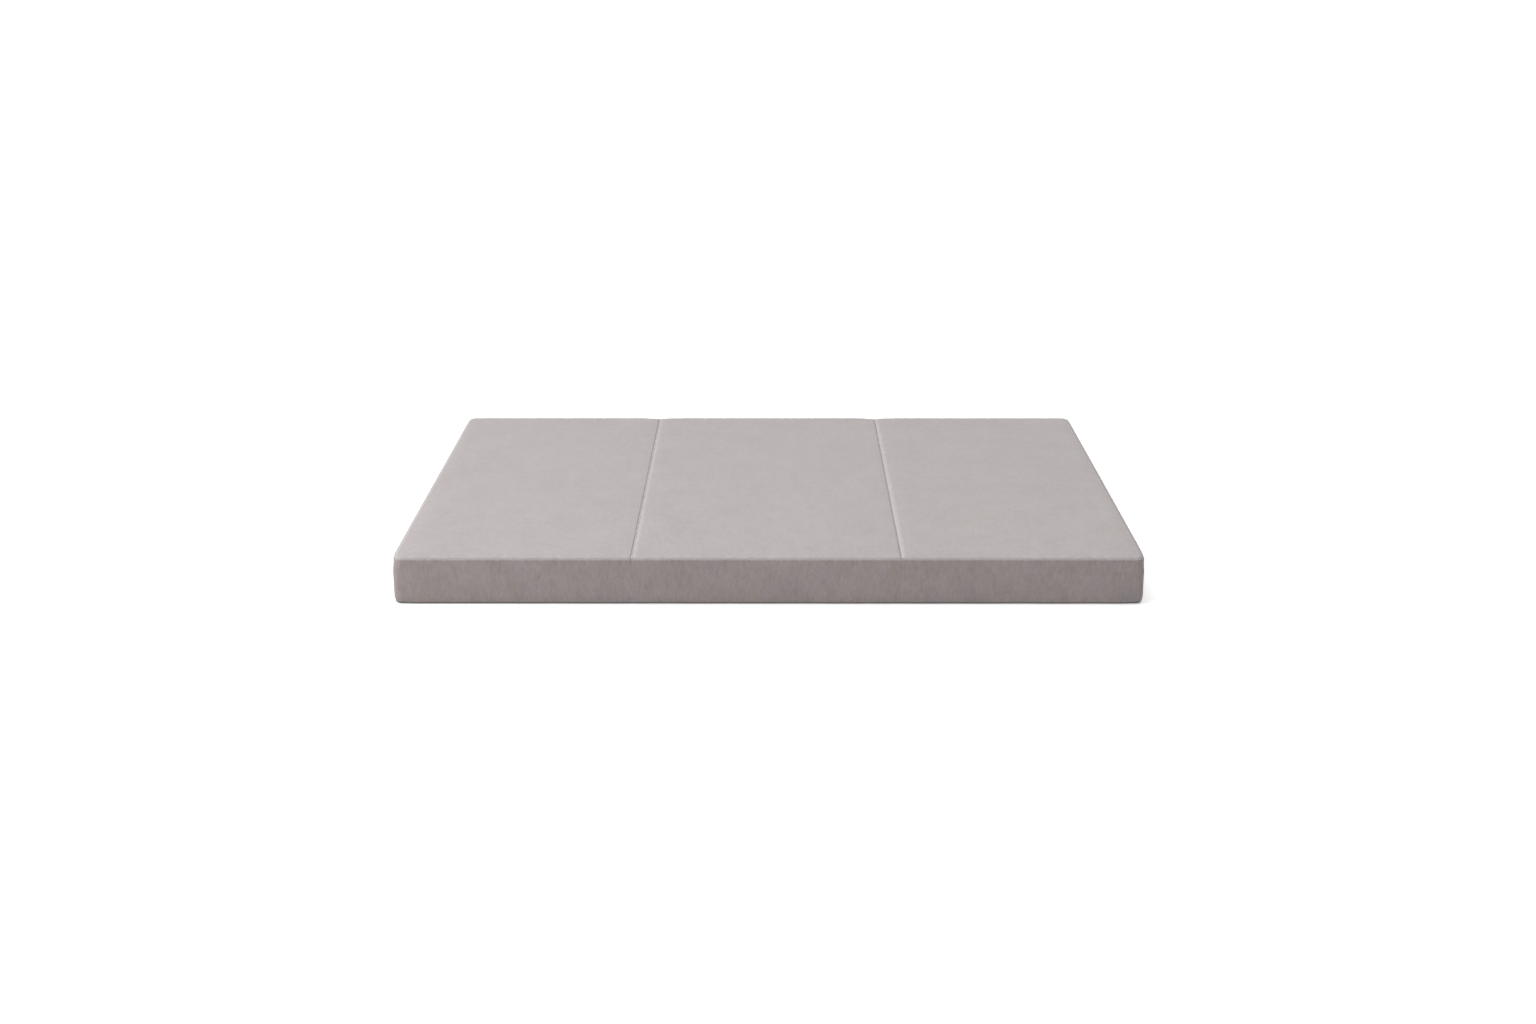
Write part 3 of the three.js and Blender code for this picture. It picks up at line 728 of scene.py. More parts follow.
TAUPE = (0.360, 0.328, 0.326)
MAUVE = (0.360, 0.328, 0.330)
# The sides' colour is partly their own warmer tone and partly painted shade: they are painted darker than
# the top, as the sideways faces get less light.
BORDER_TAUPE = (0.266, 0.230, 0.222)
BORDER_MAUVE = (0.262, 0.229, 0.229)
# The piping is painted a little darker than the top: painted shade on the rolled seam edge.
PIPING_TAUPE = (0.328, 0.294, 0.291)
PIPING_MAUVE = (0.327, 0.293, 0.296)
DARK_CLOTH = (0.150, 0.136, 0.135)

materials = {
    "cover_fabric": brushed_cloth("brushed_cloth_top", TAUPE, MAUVE, "y"),
    "border_fabric": brushed_cloth("brushed_cloth_side", BORDER_TAUPE, BORDER_MAUVE, "z", 1.9, 0.03),
    "piping_fabric": brushed_cloth("brushed_cloth_piping", PIPING_TAUPE, PIPING_MAUVE, "z", 1.6, 0.05),
    "fold_wall_fabric": brushed_cloth("brushed_cloth_fold", TAUPE, MAUVE, "z"),
    "base_fabric": non_slip_cloth("non_slip_cloth", DARK_CLOTH, (0.025, 0.024, 0.024), 9 * MM),
    "binding_tape": woven_tape("binding_weave", DARK_CLOTH),
    "fold_tape": brushed_cloth("brushed_cloth_tape", TAUPE, MAUVE, "y"),
    "inner_liner": knitted_cloth("liner_knit", (0.84, 0.82, 0.79)),
    "comfort_foam": open_foam("comfort_foam_cells", (0.86, 0.82, 0.70), 1.4 * MM),
    "support_foam": open_foam("support_foam_cells", (0.76, 0.72, 0.58), 1.0 * MM),
    "zip_tape": woven_tape("zip_tape_weave", (0.21, 0.185, 0.18)),
    "zip_teeth": moulded_plastic("zip_teeth_plastic", (0.16, 0.14, 0.14)),
    "zip_metal": brushed_metal("zip_nickel", (0.62, 0.60, 0.58)),
}
dark_thread = twisted_thread("dark_thread", (0.09, 0.08, 0.08))
cloth_thread = twisted_thread("cloth_thread", (0.33, 0.295, 0.29))


def dress(piece, slot, body, *nodes, material=None):
    """Gives a piece its material (that of its slot, unless one is given), sets it on its body, and lets it
    stand for its solids.
    """
    piece.data.materials.clear()
    piece.data.materials.append(material or materials[slot])
    if body:
        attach(piece, body)
    if nodes:
        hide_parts(*nodes)
    return piece


# Foam, liner, cover and base of each panel


DIMPLE_DROP = 0.9 * MM
DIMPLES = ((1, 260 * MM), (0.22, 75 * MM))
DIMPLE_EDGE = 60 * MM
GATHER_REACH = 17 * MM
GATHER_DROP = 1.5 * MM
COMFORT_DROP = 1.2 * MM
LINER_DROP = 1.1 * MM
ROLL_SKIN = 0.3 * MM
ROLL_TURNS = np.radians((35, 55, 75))


def bottom_rings(depth, steps=6):
    for i in range(steps + 1):
        turn = math.pi / 2 * i / steps
        inset = depth + BOTTOM_ROUND_INSET * (1 - math.sin(turn))
        yield Ring(inset, depth, depth + BOTTOM_ROUND_HEIGHT * (1 - math.cos(turn)))


def edge_rings(depth):
    top = SHOULDER_Z - depth
    yield Ring(side_inset(depth, top - SKIRT_INSET), depth, top - SKIRT_INSET)
    yield Ring(SKIRT_INSET + depth, depth, top)


def fold_inset(rise, meet=0.0):
    """How far the fold face is drawn in at a height over the shoulder's foot: straight, then rounded."""
    over = np.clip(1 - (SHOULDER_RISE - rise) / FOLD_ROUND, 0, 1)
    return (FOLD_ROUND + meet) * (1 - math.sqrt(1 - over**2)) - meet


def shoulder_rings(depth, steps=6):
    for i in range(1, steps + 1):
        turn = math.pi / 2 * i / steps
        side = SKIRT_INSET + depth + SHOULDER_INSET * (1 - math.cos(turn))
        rise = SHOULDER_RISE * math.sin(turn)
        yield Ring(side, depth + fold_inset(rise), SHOULDER_Z - depth + rise)


def shoulder_arc(turn):
    """Inset and rise of the cover's outer edge, from its lip at LIP_TURN to the top at a right angle."""
    wide = (SKIRT_INSET + SHOULDER_INSET - LIP_INSET) / np.cos(LIP_TURN)
    tall = (SHOULDER_RISE - LIP_RISE) / (1 - np.sin(LIP_TURN))
    return SKIRT_INSET + SHOULDER_INSET - wide * np.cos(turn), SHOULDER_RISE - tall * (1 - np.sin(turn))


def lip_rings(steps=7):
    """The cover's edge rolls up from behind the piping and over it. At a fold it stands straight and
    rounds down from the same heights."""
    yield Ring(SKIRT_INSET, 0, SKIRT_Z)
    yield Ring(SKIRT_INSET, -FOLD_MEET, SHOULDER_Z)
    under = ROLL_RADIUS - ROLL_SKIN
    for turn in ROLL_TURNS:
        yield Ring(ROLL_INSET + under * math.cos(turn), -FOLD_MEET, ROLL_Z + under * math.sin(turn))
    for i in range(steps):
        turn = LIP_TURN + (math.pi / 2 - LIP_TURN) * i / steps
        side, rise = shoulder_arc(turn)
        yield Ring(side, fold_inset(rise, FOLD_MEET), SHOULDER_Z + rise)


def crown(panel, depth):
    """Height of the crowned surface over plan positions, as far in as the shoulder's top."""

    def height(places):
        x, y = places[..., 0], places[..., 1]
        full = 1
        for gap, at_fold in ((x - panel.low, panel.fold_low), (panel.high - x, panel.fold_high),
                             (HALF_DEPTH - np.abs(y), False)):
            start = FOLD_ROUND if at_fold else SKIRT_INSET + SHOULDER_INSET
            share = (gap - start - depth) / (FOLD_CROWN_REACH if at_fold else CROWN_REACH)
            full = full * (1 - (1 - np.clip(share, 0, 1)) ** CROWN_POWER)
        return SHOULDER_Z - depth + SHOULDER_RISE + CROWN_RISE * full

    return height


def crown_ring(panel, depth):
    return Ring(SKIRT_INSET + SHOULDER_INSET + depth, FOLD_ROUND + depth, crown(panel, depth))


def soften(panel):
    """Sinks the crown in broad shallow dimples, and the shoulder where the seam gathers it."""

    def change(points):
        places = points[:, :2]
        low, high = places[:, 0] - panel.low, panel.high - places[:, 0]
        side = HALF_DEPTH - SKIRT_INSET - np.abs(places[:, 1])
        edge = side
        for fold, gap in ((panel.fold_low, low), (panel.fold_high, high)):
            edge = np.minimum(edge, gap - (0 if fold else SKIRT_INSET))
            side = side if fold else np.minimum(side, gap - SKIRT_INSET)
        lip = SHOULDER_Z + LIP_RISE
        above = np.clip((points[:, 2] - lip) / (SHOULDER_Z + SHOULDER_RISE - lip), 0, 1)
        dimple = sum(share * (0.5 + 0.5 * waves(places, length, panel.seed + i))
                     for i, (share, length) in enumerate(DIMPLES))
        drop = DIMPLE_DROP * dimple * ease(edge / DIMPLE_EDGE)
        drop += EDGE_SLOPE_DROP * fade(side, EDGE_SLOPE_REACH) * above
        shift = np.zeros(len(places))
        for fold, gap, at_high in ((panel.fold_low, low, False), (panel.fold_high, high, True)):
            if fold:
                drop += fold_slope(gap, places[:, 1], at_high) * above
                shift += fold_shift(gap, places[:, 1]) * above
        for name in panel.sides:
            drop += GATHER_DROP * GATHERS[panel.name, name].over(places, GATHER_REACH) * above
        sunk = drop + back_sink(places[:, 0], places[:, 1])
        return points + np.stack([shift, np.zeros(len(shift)), -sunk], -1)

    return change


def make_panel_body(panel):
    """Foam, liner, cover and base of one panel."""
    name, body = panel.name, panel.body
    rings = [*bottom_rings(FOAM_DEPTH), Ring(FOAM_DEPTH, FOAM_DEPTH, LAYER_Z - CLEARANCE)]
    support = loft(f"{name}_support_foam_block", panel, rings, FOAM_STEP)
    dress(support, "support_foam", body, f"{name}_support_foam")

    rings = [Ring(FOAM_DEPTH, FOAM_DEPTH, LAYER_Z), *edge_rings(FOAM_DEPTH), *shoulder_rings(FOAM_DEPTH),
             crown_ring(panel, FOAM_DEPTH)]
    comfort = loft(f"{name}_comfort_foam_block", panel, rings, FOAM_STEP, lowered(COMFORT_DROP))
    dress(comfort, "comfort_foam", body, f"{name}_comfort_foam")

    rings = [*[*liner_rings(panel, LINER_DEPTH + LINER_SHEET)][::-1], *liner_rings(panel, LINER_DEPTH)]
    liner = loft(f"{name}_liner_cloth", panel, rings, FOAM_STEP, lowered(LINER_DROP))
    dress(liner, "inner_liner", body, f"{name}_foam_liner")

    inner = [Ring(SKIRT_INSET + COVER_SHEET, COVER_SHEET, SKIRT_Z), *shoulder_rings(COVER_SHEET),
             crown_ring(panel, COVER_SHEET)]
    rings = [*inner[::-1], *lip_rings(), crown_ring(panel, 0)]
    cover = loft(f"{name}_cover_cloth", panel, rings, CLOTH_STEP, soften(panel))
    dress(cover, "cover_fabric", body, f"{name}_top_cover")

    edge = side_inset(BINDING_SHEET + CLEARANCE, BINDING_SHEET + CLEARANCE)
    low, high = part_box(f"{name}_base")
    trimmed = panel._replace(low=low.x if panel.fold_low else panel.low,
                             high=high.x if panel.fold_high else panel.high)
    base = loft(f"{name}_base_cloth", trimmed, [Ring(edge, 0, 0), Ring(edge, 0, BASE_SHEET)], FOAM_STEP)
    dress(base, "base_fabric", body, f"{name}_base")


def lowered(drop):
    """Foam gives way a little under its cover: the crown sinks, and so does its back edge by the folds."""

    def change(points):
        share = ease((points[:, 2] - SHOULDER_Z) / (TOP_Z - SHOULDER_Z))
        high = ease((points[:, 2] - LAYER_Z) / (SHOULDER_Z - LAYER_Z))
        points[:, 2] -= drop * share + back_sink(points[:, 0], points[:, 1]) * high
        return points

    return change


def liner_rings(panel, depth):
    yield Ring(LINER_MOUTH_INSET, LINER_MOUTH_INSET, depth)
    yield from bottom_rings(depth)
    yield Ring(depth, depth, LAYER_Z)
    yield from edge_rings(depth)
    yield from shoulder_rings(depth)
    yield crown_ring(panel, depth)


# Borders, piping and bindings along the outer sides


def spaced(stops, counts):
    """Even steps between stops, with that count of steps in each stretch."""
    parts = [np.linspace(a, b, n, endpoint=False) for a, b, n in zip(stops, stops[1:], counts)]
    return np.append(np.concatenate(parts), stops[-1])


# A side follows its lifted edge below the low height, and the sunk seam above the high one
LOW_Z = 30 * MM
HIGH_Z = 88 * MM
BORDER_ROWS = spaced(
    (BINDING_HIGH + CLEARANCE, BOTTOM_ROUND_HEIGHT, ZIP_LOW_Z, ZIP_HIGH_Z, LAYER_Z, 90 * MM,
     SEAM_Z - 3 * MM, BORDER_TOP_Z),
    (8, 2, 4, 3, 4, 7, 8))
EDGE_SHEET = 0.05 * MM

# Swells and ripples of a border, each as height, wave length and how far it reaches
SIDE_SWELL = (0.7 * MM, 170 * MM, 25 * MM)
SEAM_RIPPLE = (0.7 * MM, 11 * MM, 9 * MM)
BINDING_RIPPLE = (0.3 * MM, 15 * MM, 8 * MM)
SEAM_GATHER = 1.1 * MM
SEAM_GATHER_REACH = 13 * MM
SWELL_TALL = 1.6
SWELL_OVER_SEAM = (0.6, 2 * MM)
SWELL_END = 22 * MM
HEM_STEP = 0.5 * MM
INNER_SHARES = (0.7, 0.6)

# Ends of the runs at the folds, and the bottom edge
FOLD_END_ROUND = 0.15 * MM
FOLD_MOUTH_ROUND = 0.8 * MM
FOLD_MOUTH_REACH = 8 * MM
BASE_GAP = 1.5 * MM
FOLD_REACH = 0.47 * MM
FOLD_REACH_RUN = 12 * MM
FOLD_DIP = 0.4 * MM
FOLD_DIP_RUN = 11 * MM
EDGE_LIFT = (0.6 * MM, 240 * MM, 70 * MM)
CORNER_LIFT = 2.2 * MM
CORNER_LIFT_REACH = 32 * MM
BINDING_BULGE = 0.35 * MM
BINDING_WAVE = (0.2 * MM, 16 * MM)
BINDING_STEPS = 7

# Piping: lumps as shares of its radius, its wandering height, and how gathers thin it
PIPING_LUMPS = ((0.05, 22 * MM, 0), (0.03, 9 * MM, 2))
PIPING_WAVE = (0.2 * MM, 45 * MM)
PIPING_GATHER_SHARE = 0.12
PIPING_END = (1.5 * MM, 0.5)


def border_inset(z):
    """Profile of the sewn border: it meets the piping at its widest line."""
    return bottom_ease(z) + SEAM_TUCK * np.clip((z - LAYER_Z) / (SEAM_Z - LAYER_Z), 0, None) ** 2


def border_back(z):
    """Profile of the border's inner face: it thins out to nothing over the piping."""
    rise = np.clip((z - ROLL_Z) / ROLL_RADIUS, -1, 0)
    roll = np.where(rise > -1, ROLL_INSET - ROLL_RADIUS * np.sqrt(1 - rise**2), np.inf)
    return np.minimum(border_inset(z) + COVER_SHEET, roll - EDGE_SHEET)


def fold_dip(run):
    """How far the seam sinks towards the folds."""
    return FOLD_DIP * fade(run.from_ends, FOLD_DIP_RUN) + back_sink(*run.places.T)


def edge_lift(run):
    """How far the bottom edge stands off the floor: a little in waves, more at the rounded corners."""
    lift, length, free = EDGE_LIFT
    wave = 0.5 + 0.5 * run.waves(length, run.panel.seed * 3 + len(run.side))
    corners = np.abs(run.places)
    outer = np.hypot(HALF_LENGTH - corners[:, 0], HALF_DEPTH - corners[:, 1])
    corner_lift = CORNER_LIFT * np.exp(-((outer / CORNER_LIFT_REACH) ** 2))
    return lift * wave * ease(run.from_ends / free) + corner_lift


def standing(run, z):
    """Heights of a border's or binding's points, with the dips at the folds and the lifted edge."""
    high = ease((z - HIGH_Z) / (SEAM_Z - HIGH_Z))
    return z[None, :] + edge_lift(run)[:, None] * fade(z, LOW_Z) - fold_dip(run)[:, None] * high


def border_swell(run, z):
    """How far the border stands out from its plain profile, for each station and height."""
    seed = run.panel.seed * 7 + len(run.side)
    below_seam = np.maximum(SEAM_Z - z, 0)[None, :]
    above_binding = (z - BINDING_HIGH)[None, :]
    height, length, reach = SIDE_SWELL
    both = np.stack(np.broadcast_arrays(run.at[:, None], z[None, :] * SWELL_TALL), -1)
    swell = height * waves(both, length, seed) * (ease(below_seam / reach) * ease(above_binding / reach))
    height, length, reach = SEAM_RIPPLE
    swell = swell + height * run.waves(length, seed + 1)[:, None] * np.exp(-below_seam / reach)
    gathers = GATHERS[run.panel.name, run.side].along()[:, None]
    swell = swell - SEAM_GATHER * gathers * np.exp(-below_seam / SEAM_GATHER_REACH)
    height, length, reach = BINDING_RIPPLE
    swell = swell + height * run.waves(length, seed + 2)[:, None] * np.exp(-above_binding / reach)
    share, reach = SWELL_OVER_SEAM
    over_seam = 1 - share * ease((z - SEAM_Z) / reach)
    return swell * ease(run.from_ends / SWELL_END)[:, None] * over_seam


def end_round(run, radius):
    """How far a piece's ends turn in at the fold faces, for each station and each radius."""
    radius = np.atleast_1d(radius)[None, :]
    short = np.clip(1 - run.from_ends[:, None] / radius, 0, 1)
    return radius * (1 - np.sqrt(1 - short**2))


def reach_to_fold(run, points):
    """Stretches the ends of a run of points towards the fold faces."""
    towards = np.where(run.at < run.length / 2, -1.0, 1.0)
    way = towards * fade(run.from_ends, FOLD_REACH_RUN) * FOLD_REACH
    direction = np.stack([-run.normals[:, 1], run.normals[:, 0]], -1)
    points = points.copy()
    points[..., :2] += (direction * way[:, None])[:, None, :]
    return points


def make_border(run):
    z, panel = BORDER_ROWS, run.panel
    swell = border_swell(run, z)
    hem = np.zeros_like(swell)
    keep = np.ones((len(run.at) - 1, len(z) - 1), bool)
    opening, on_it = 0, []
    if run.side != "front":
        low, high = ZIP_SPANS[panel.name]
        x, y = run.places.T
        at_back = y > HALF_DEPTH - CORNER_RADIUS
        outside = np.maximum(low - CLEARANCE - x, x - high - CLEARANCE)[:, None]
        beyond = np.maximum(outside, np.maximum(ZIP_LOW_Z - z, z - ZIP_HIGH_Z)[None, :])
        close = np.where(at_back[:, None], fade(np.abs(beyond), 2 * HEM_WIDTH), 0)
        hem = HEM_STEP * close
        swell = swell * (1 - ease(close * 2))
        middle_x, middle_z = (x[1:] + x[:-1]) / 2, (z[1:] + z[:-1]) / 2
        in_x = (middle_x > low) & (middle_x < high) & at_back[1:] & at_back[:-1]
        in_z = (middle_z > ZIP_LOW_Z) & (middle_z < ZIP_HIGH_Z)
        keep = ~(in_x[:, None] & in_z[None, :])
        opening = (ZIP_HIGH_Z - ZIP_LOW_Z) * (high - low)
        pieces = ("upper_tape_weave", "lower_tape_weave", "stitches")
        on_it = [f"{panel.name}_zip_{piece}" for piece in pieces]
    mouth = FOLD_MOUTH_ROUND * np.exp(-(BORDER_TOP_Z - z) / FOLD_MOUTH_REACH)
    turned = end_round(run, FOLD_END_ROUND + mouth)
    tall = standing(run, z)
    outer = run.sweep(border_inset(z)[None, :] - swell - hem + turned, tall)
    swell_share, turned_share = INNER_SHARES
    follow = np.where(z > SEAM_Z, 1.0, swell_share)[None, :]
    inner = run.sweep(border_back(z)[None, :] - swell * follow + turned * turned_share, tall)
    outer, inner = reach_to_fold(run, outer), reach_to_fold(run, inner)
    border = sheet_solid(f"{run.stem}_border_cloth", outer, inner, keep)
    dress(border, "border_fabric", panel.body, f"{run.stem}_border")
    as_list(on_it)


def make_piping(run, sides=16):
    seed = run.panel.seed * 13 + len(run.side)
    lumps = sum(share * run.waves(length, seed + more) for share, length, more in PIPING_LUMPS)
    gathers = GATHERS[run.panel.name, run.side].along()
    radius = ROLL_RADIUS * (1 - PIPING_GATHER_SHARE * gathers + lumps)
    reach, closed = PIPING_END
    short = np.clip(1 - run.from_ends / reach, 0, 1)
    radius = radius * np.sqrt(1 - closed * short**2)
    turn = 2 * math.pi * (np.arange(sides) + 0.5) / sides
    height, length = PIPING_WAVE
    centre = ROLL_Z + height * run.waves(length, seed + 1) - fold_dip(run)
    rings = run.sweep(ROLL_INSET + radius[:, None] * np.cos(turn),
                      centre[:, None] + radius[:, None] * np.sin(turn))
    faces = tube_faces(*rings.shape[:2])
    piping = make_mesh(f"{run.stem}_piping_roll", reach_to_fold(run, rings), faces, smooth_angle=60)
    dress(piping, "piping_fabric", run.panel.body, f"{run.stem}_piping")


def make_binding(run):
    """A strip from beside the base, round the bottom edge and up to the border."""
    top_turn = math.acos(1 - BINDING_HIGH / BOTTOM_ROUND_HEIGHT)
    turn = np.linspace(0, top_turn, BINDING_STEPS)
    inset = np.concatenate([BOTTOM_ROUND_INSET + BASE_GAP * np.array([1, 0.5]),
                            BOTTOM_ROUND_INSET * (1 - np.sin(turn))])
    z = np.concatenate([[0.0, 0.0], BOTTOM_ROUND_HEIGHT * (1 - np.cos(turn))]) + EDGE_SHEET
    slope = np.stack([np.gradient(inset), np.gradient(z)], -1)
    slope /= np.linalg.norm(slope, axis=1)[:, None]
    bulge = BINDING_BULGE * np.sin(math.pi * np.linspace(0, 1, len(z)))[None, :]
    height, length = BINDING_WAVE
    ripple = height * run.waves(length, run.panel.seed + 5)[:, None] * (z > MM)[None, :]
    turned = end_round(run, FOLD_END_ROUND)
    outer = run.sweep(inset[None, :] - bulge * (z > MM) - ripple + turned, standing(run, z))
    inner_inset = inset + BINDING_SHEET * slope[:, 1]
    inner = run.sweep(inner_inset[None, :], standing(run, z - BINDING_SHEET * slope[:, 0]))
    strip = sheet_solid(f"{run.stem}_binding_strip", reach_to_fold(run, outer), reach_to_fold(run, inner))
    dress(strip, "binding_tape", run.panel.body, f"{run.stem}_binding")


# Stitches
STITCH_STATIONS = ((-0.5, 0.35, -0.7), (-0.36, 0.9, 0.1), (0, 1, 0.35), (0.36, 0.9, 0.1), (0.5, 0.35, -0.7))
STITCH_SHARE = 0.72
BINDING_PITCH = 4 * MM
BINDING_THREAD = 0.4 * MM
BINDING_STITCH_SHARE = 0.72
BINDING_STITCH_SINK = 0.35 * MM
BINDING_STITCH_TILT = -0.2
ZIP_PITCH = 3.4 * MM
ZIP_STITCH_MARGIN = 3.4 * MM
ZIP_THREAD = 0.36 * MM
ZIP_STITCH_LIFT = 0.45 * MM


def stitch_shape(length, radius, sides=6):
    """One stitch: a short thread that dives into the cloth at both ends. Its axes are along, across, up."""
    turn = 2 * math.pi * np.arange(sides) / sides
    rings = [
        np.stack([np.full(sides, at * length), thick * radius * np.cos(turn),
                  up * radius + thick * radius * np.sin(turn)], -1)
        for at, thick, up in STITCH_STATIONS
    ]
    return np.concatenate(rings), tube_faces(len(rings), sides)


def stitch_row(name, places, ways, ups, pitch, radius, material, slot, body):
    along = ways / np.linalg.norm(ways, axis=1)[:, None]
    up = ups / np.linalg.norm(ups, axis=1)[:, None]
    axes = np.stack([along, np.cross(up, along), up], 1)
    row = repeat_solid(name, *stitch_shape(pitch * STITCH_SHARE, radius), places, axes)
    dress(row, slot, body, material=material)


def make_binding_stitches(run):
    """Stitches along the binding, on a face that looks outward and a little down."""
    z = BINDING_LOW + BINDING_STITCH_SHARE * (BINDING_HIGH - BINDING_LOW)
    at = np.arange(BINDING_PITCH, run.length - BINDING_PITCH / 2, BINDING_PITCH)
    place, normal, way = run.where(at)
    tall = z + np.interp(at, run.at, edge_lift(run)) * fade(z, LOW_Z)
    places = raised(place - normal * (side_inset(0, z) - BINDING_STITCH_SINK), tall)
    ups = raised(normal, BINDING_STITCH_TILT)
    stitch_row(f"{run.stem}_binding_stitches", places, raised(way, 0.0), ups, BINDING_PITCH,
               BINDING_THREAD, dark_thread, "binding_tape", run.panel.body)


def make_zip_stitches(panel):
    """A row of stitches all round the zip opening, on the hem."""
    low, high = ZIP_SPANS[panel.name]
    x0, x1 = low - ZIP_STITCH_MARGIN, high + ZIP_STITCH_MARGIN
    z0, z1 = ZIP_LOW_Z - ZIP_STITCH_MARGIN, ZIP_HIGH_Z + ZIP_STITCH_MARGIN
    corners = np.array([(x0, z0), (x1, z0), (x1, z1), (x0, z1), (x0, z0)])
    places, ways = [], []
    for start, end in zip(corners, corners[1:]):
        length = np.linalg.norm(end - start)
        run = np.arange(ZIP_PITCH / 2, length, ZIP_PITCH)[:, None]
        point = start + run * (end - start) / length
        y = HALF_DEPTH - side_inset(0, point[:, 1]) + ZIP_STITCH_LIFT
        places.append(np.stack([point[:, 0], y, point[:, 1]], -1))
        way = (end - start) / length
        ways.append(np.broadcast_to([way[0], 0, way[1]], (len(point), 3)))
    places, ways = np.concatenate(places), np.concatenate(ways)
    ups = np.broadcast_to([0.0, 1.0, 0.0], places.shape)
    stitch_row(f"{panel.name}_zip_stitches", places, ways, ups, ZIP_PITCH, ZIP_THREAD, cloth_thread,
               "border_fabric", panel.body)


# Fold walls and fold tapes
WALL_LOWER_Z = 26 * MM
WALL_UPPER_Z = 34 * MM
WALL_TOP_BAND = 9 * MM
WALL_STEPS = (7, 8, 4, 141)
WALL_SINK = (0.8 * MM, 210 * MM, 20 * MM)
WALL_BACK_SINK_SHARE = 0.4
TAPE_REACH = 3.7 * MM
TAPE_SHEET = 0.5 * MM
TAPE_SAG = 2 * MM
TAPE_LIFT = 0.3 * MM
TAPE_END = 1.5 * MM
TAPE_END_STEPS = 2 * MM * np.arange(1, 5)
TAPE_WAVE = 0.12 * MM
TAPE_STATIONS = 15
TAPE_EDGE_SHARE = 0.1
TOP_TAPE_WAVE = (26 * MM, 71)
BOTTOM_TAPE_STATIONS = (17, 281)
BOTTOM_TAPE_WAVE = (30 * MM, 83)


def make_fold_wall(panel, at_high):
    which = ("_right" if at_high else "_left") if panel.fold_low and panel.fold_high else ""
    stem = f"{panel.name}{which}_fold_wall"
    low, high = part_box(stem)
    lower, upper, top, along = WALL_STEPS
    z = np.concatenate([np.linspace(low.z, WALL_LOWER_Z, lower),
                        np.linspace(WALL_UPPER_Z, high.z - WALL_TOP_BAND, upper)[:-1],
                        np.linspace(high.z - WALL_TOP_BAND, high.z, top)])
    half = np.array([HALF_DEPTH - BOW - side_inset(LINER_DEPTH, h) for h in z])
    slope = np.clip((z - (high.z - SKIRT_INSET)) / SKIRT_INSET, 0, 1)
    half = half - slope * (SKIRT_INSET - SEAM_DRAW)
    y = np.linspace(-1, 1, along)[:, None] * half[None, :]
    depth, length, held_reach = WALL_SINK
    held = ease((z - low.z) / held_reach) * ease((high.z - z) / held_reach)
    grid = np.stack(np.broadcast_arrays(y, z), -1)
    sink = depth * (0.5 + 0.5 * waves(grid, length, panel.seed + 9)) * held[None, :]
    face, back = (high.x, low.x) if at_high else (low.x, high.x)
    tall = z - back_sink(face, y) * ease((z - LAYER_Z) / (high.z - LAYER_Z))
    inward = -1 if at_high else 1
    outer = np.stack([face + inward * sink, y, tall], -1)
    inner = np.stack([back + inward * sink * WALL_BACK_SINK_SHARE, y, tall], -1)
    wall = sheet_solid(f"{stem}_cloth", outer, inner)
    dress(wall, "fold_wall_fabric", panel.body, stem)


def fold_top(across, from_face, y):
    """Height of the covers beside a fold, at a distance from the fold face and a place along it."""
    near = np.clip(1 - from_face / FOLD_ROUND, 0, 1)
    round_drop = FOLD_ROUND * (1 - np.sqrt(1 - near**2))
    slope_drop = np.where(across < 0, fold_slope(from_face, y, True), fold_slope(from_face, y, False))
    from_edge = HALF_DEPTH - BOW - np.abs(y)
    rise = np.interp(from_edge, *shoulder_arc(np.linspace(LIP_TURN, math.pi / 2, 20)))
    edge_drop = EDGE_SLOPE_DROP * fade(from_edge - SKIRT_INSET, EDGE_SLOPE_REACH)
    return SHOULDER_Z + rise - np.minimum(round_drop + slope_drop, TAPE_SAG) - edge_drop


def make_top_fold_tape():
    low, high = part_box("top_fold_tape")
    fold_x = (low.x + high.x) / 2
    half = HALF_DEPTH - BOW - LIP_INSET - TAPE_END
    share = np.linspace(-1, 1, TAPE_STATIONS)
    y = np.linspace(-half, half, math.ceil(2 * half / CLOTH_STEP) + 1)
    y = np.sort(np.concatenate([y, half - TAPE_END_STEPS, TAPE_END_STEPS - half]))[:, None]
    across = TAPE_REACH * share[None, :]
    from_face = np.maximum(np.abs(across) - (PANELS[1].low - fold_x), 0)
    lie = fold_top(across, from_face, y) - back_sink(fold_x, y) + TAPE_LIFT
    under = lie + TAPE_WAVE * waves(y, *TOP_TAPE_WAVE)[:, None] * (1 - share**2)
    x = fold_x + across + fold_shift(0, y[:, 0])[:, None]
    thick = TAPE_SHEET * (TAPE_EDGE_SHARE + (1 - TAPE_EDGE_SHARE) * (1 - share**4))
    y = np.broadcast_to(y, x.shape)
    outer, inner = np.stack([x, y, under + thick], -1), np.stack([x, y, under], -1)
    tape = sheet_solid("top_fold_tape_strip", outer, inner)
    dress(tape, "fold_tape", None, "top_fold_tape")
    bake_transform(tape)


def make_bottom_fold_tape():
    low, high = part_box("bottom_fold_tape")
    across, along = BOTTOM_TAPE_STATIONS
    x, y = np.meshgrid(np.linspace(low.x, high.x, across), np.linspace(low.y, high.y, along))
    swell = TAPE_WAVE * waves(np.stack([x, y], -1), *BOTTOM_TAPE_WAVE)
    outer = np.stack([x, y, low.z + TAPE_WAVE + swell], -1)
    inner = np.stack([x, y, np.full(x.shape, high.z)], -1)
    tape = sheet_solid("bottom_fold_tape_strip", inner, outer)
    dress(tape, "fold_tape", None, "bottom_fold_tape", material=materials["binding_tape"])
    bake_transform(tape)


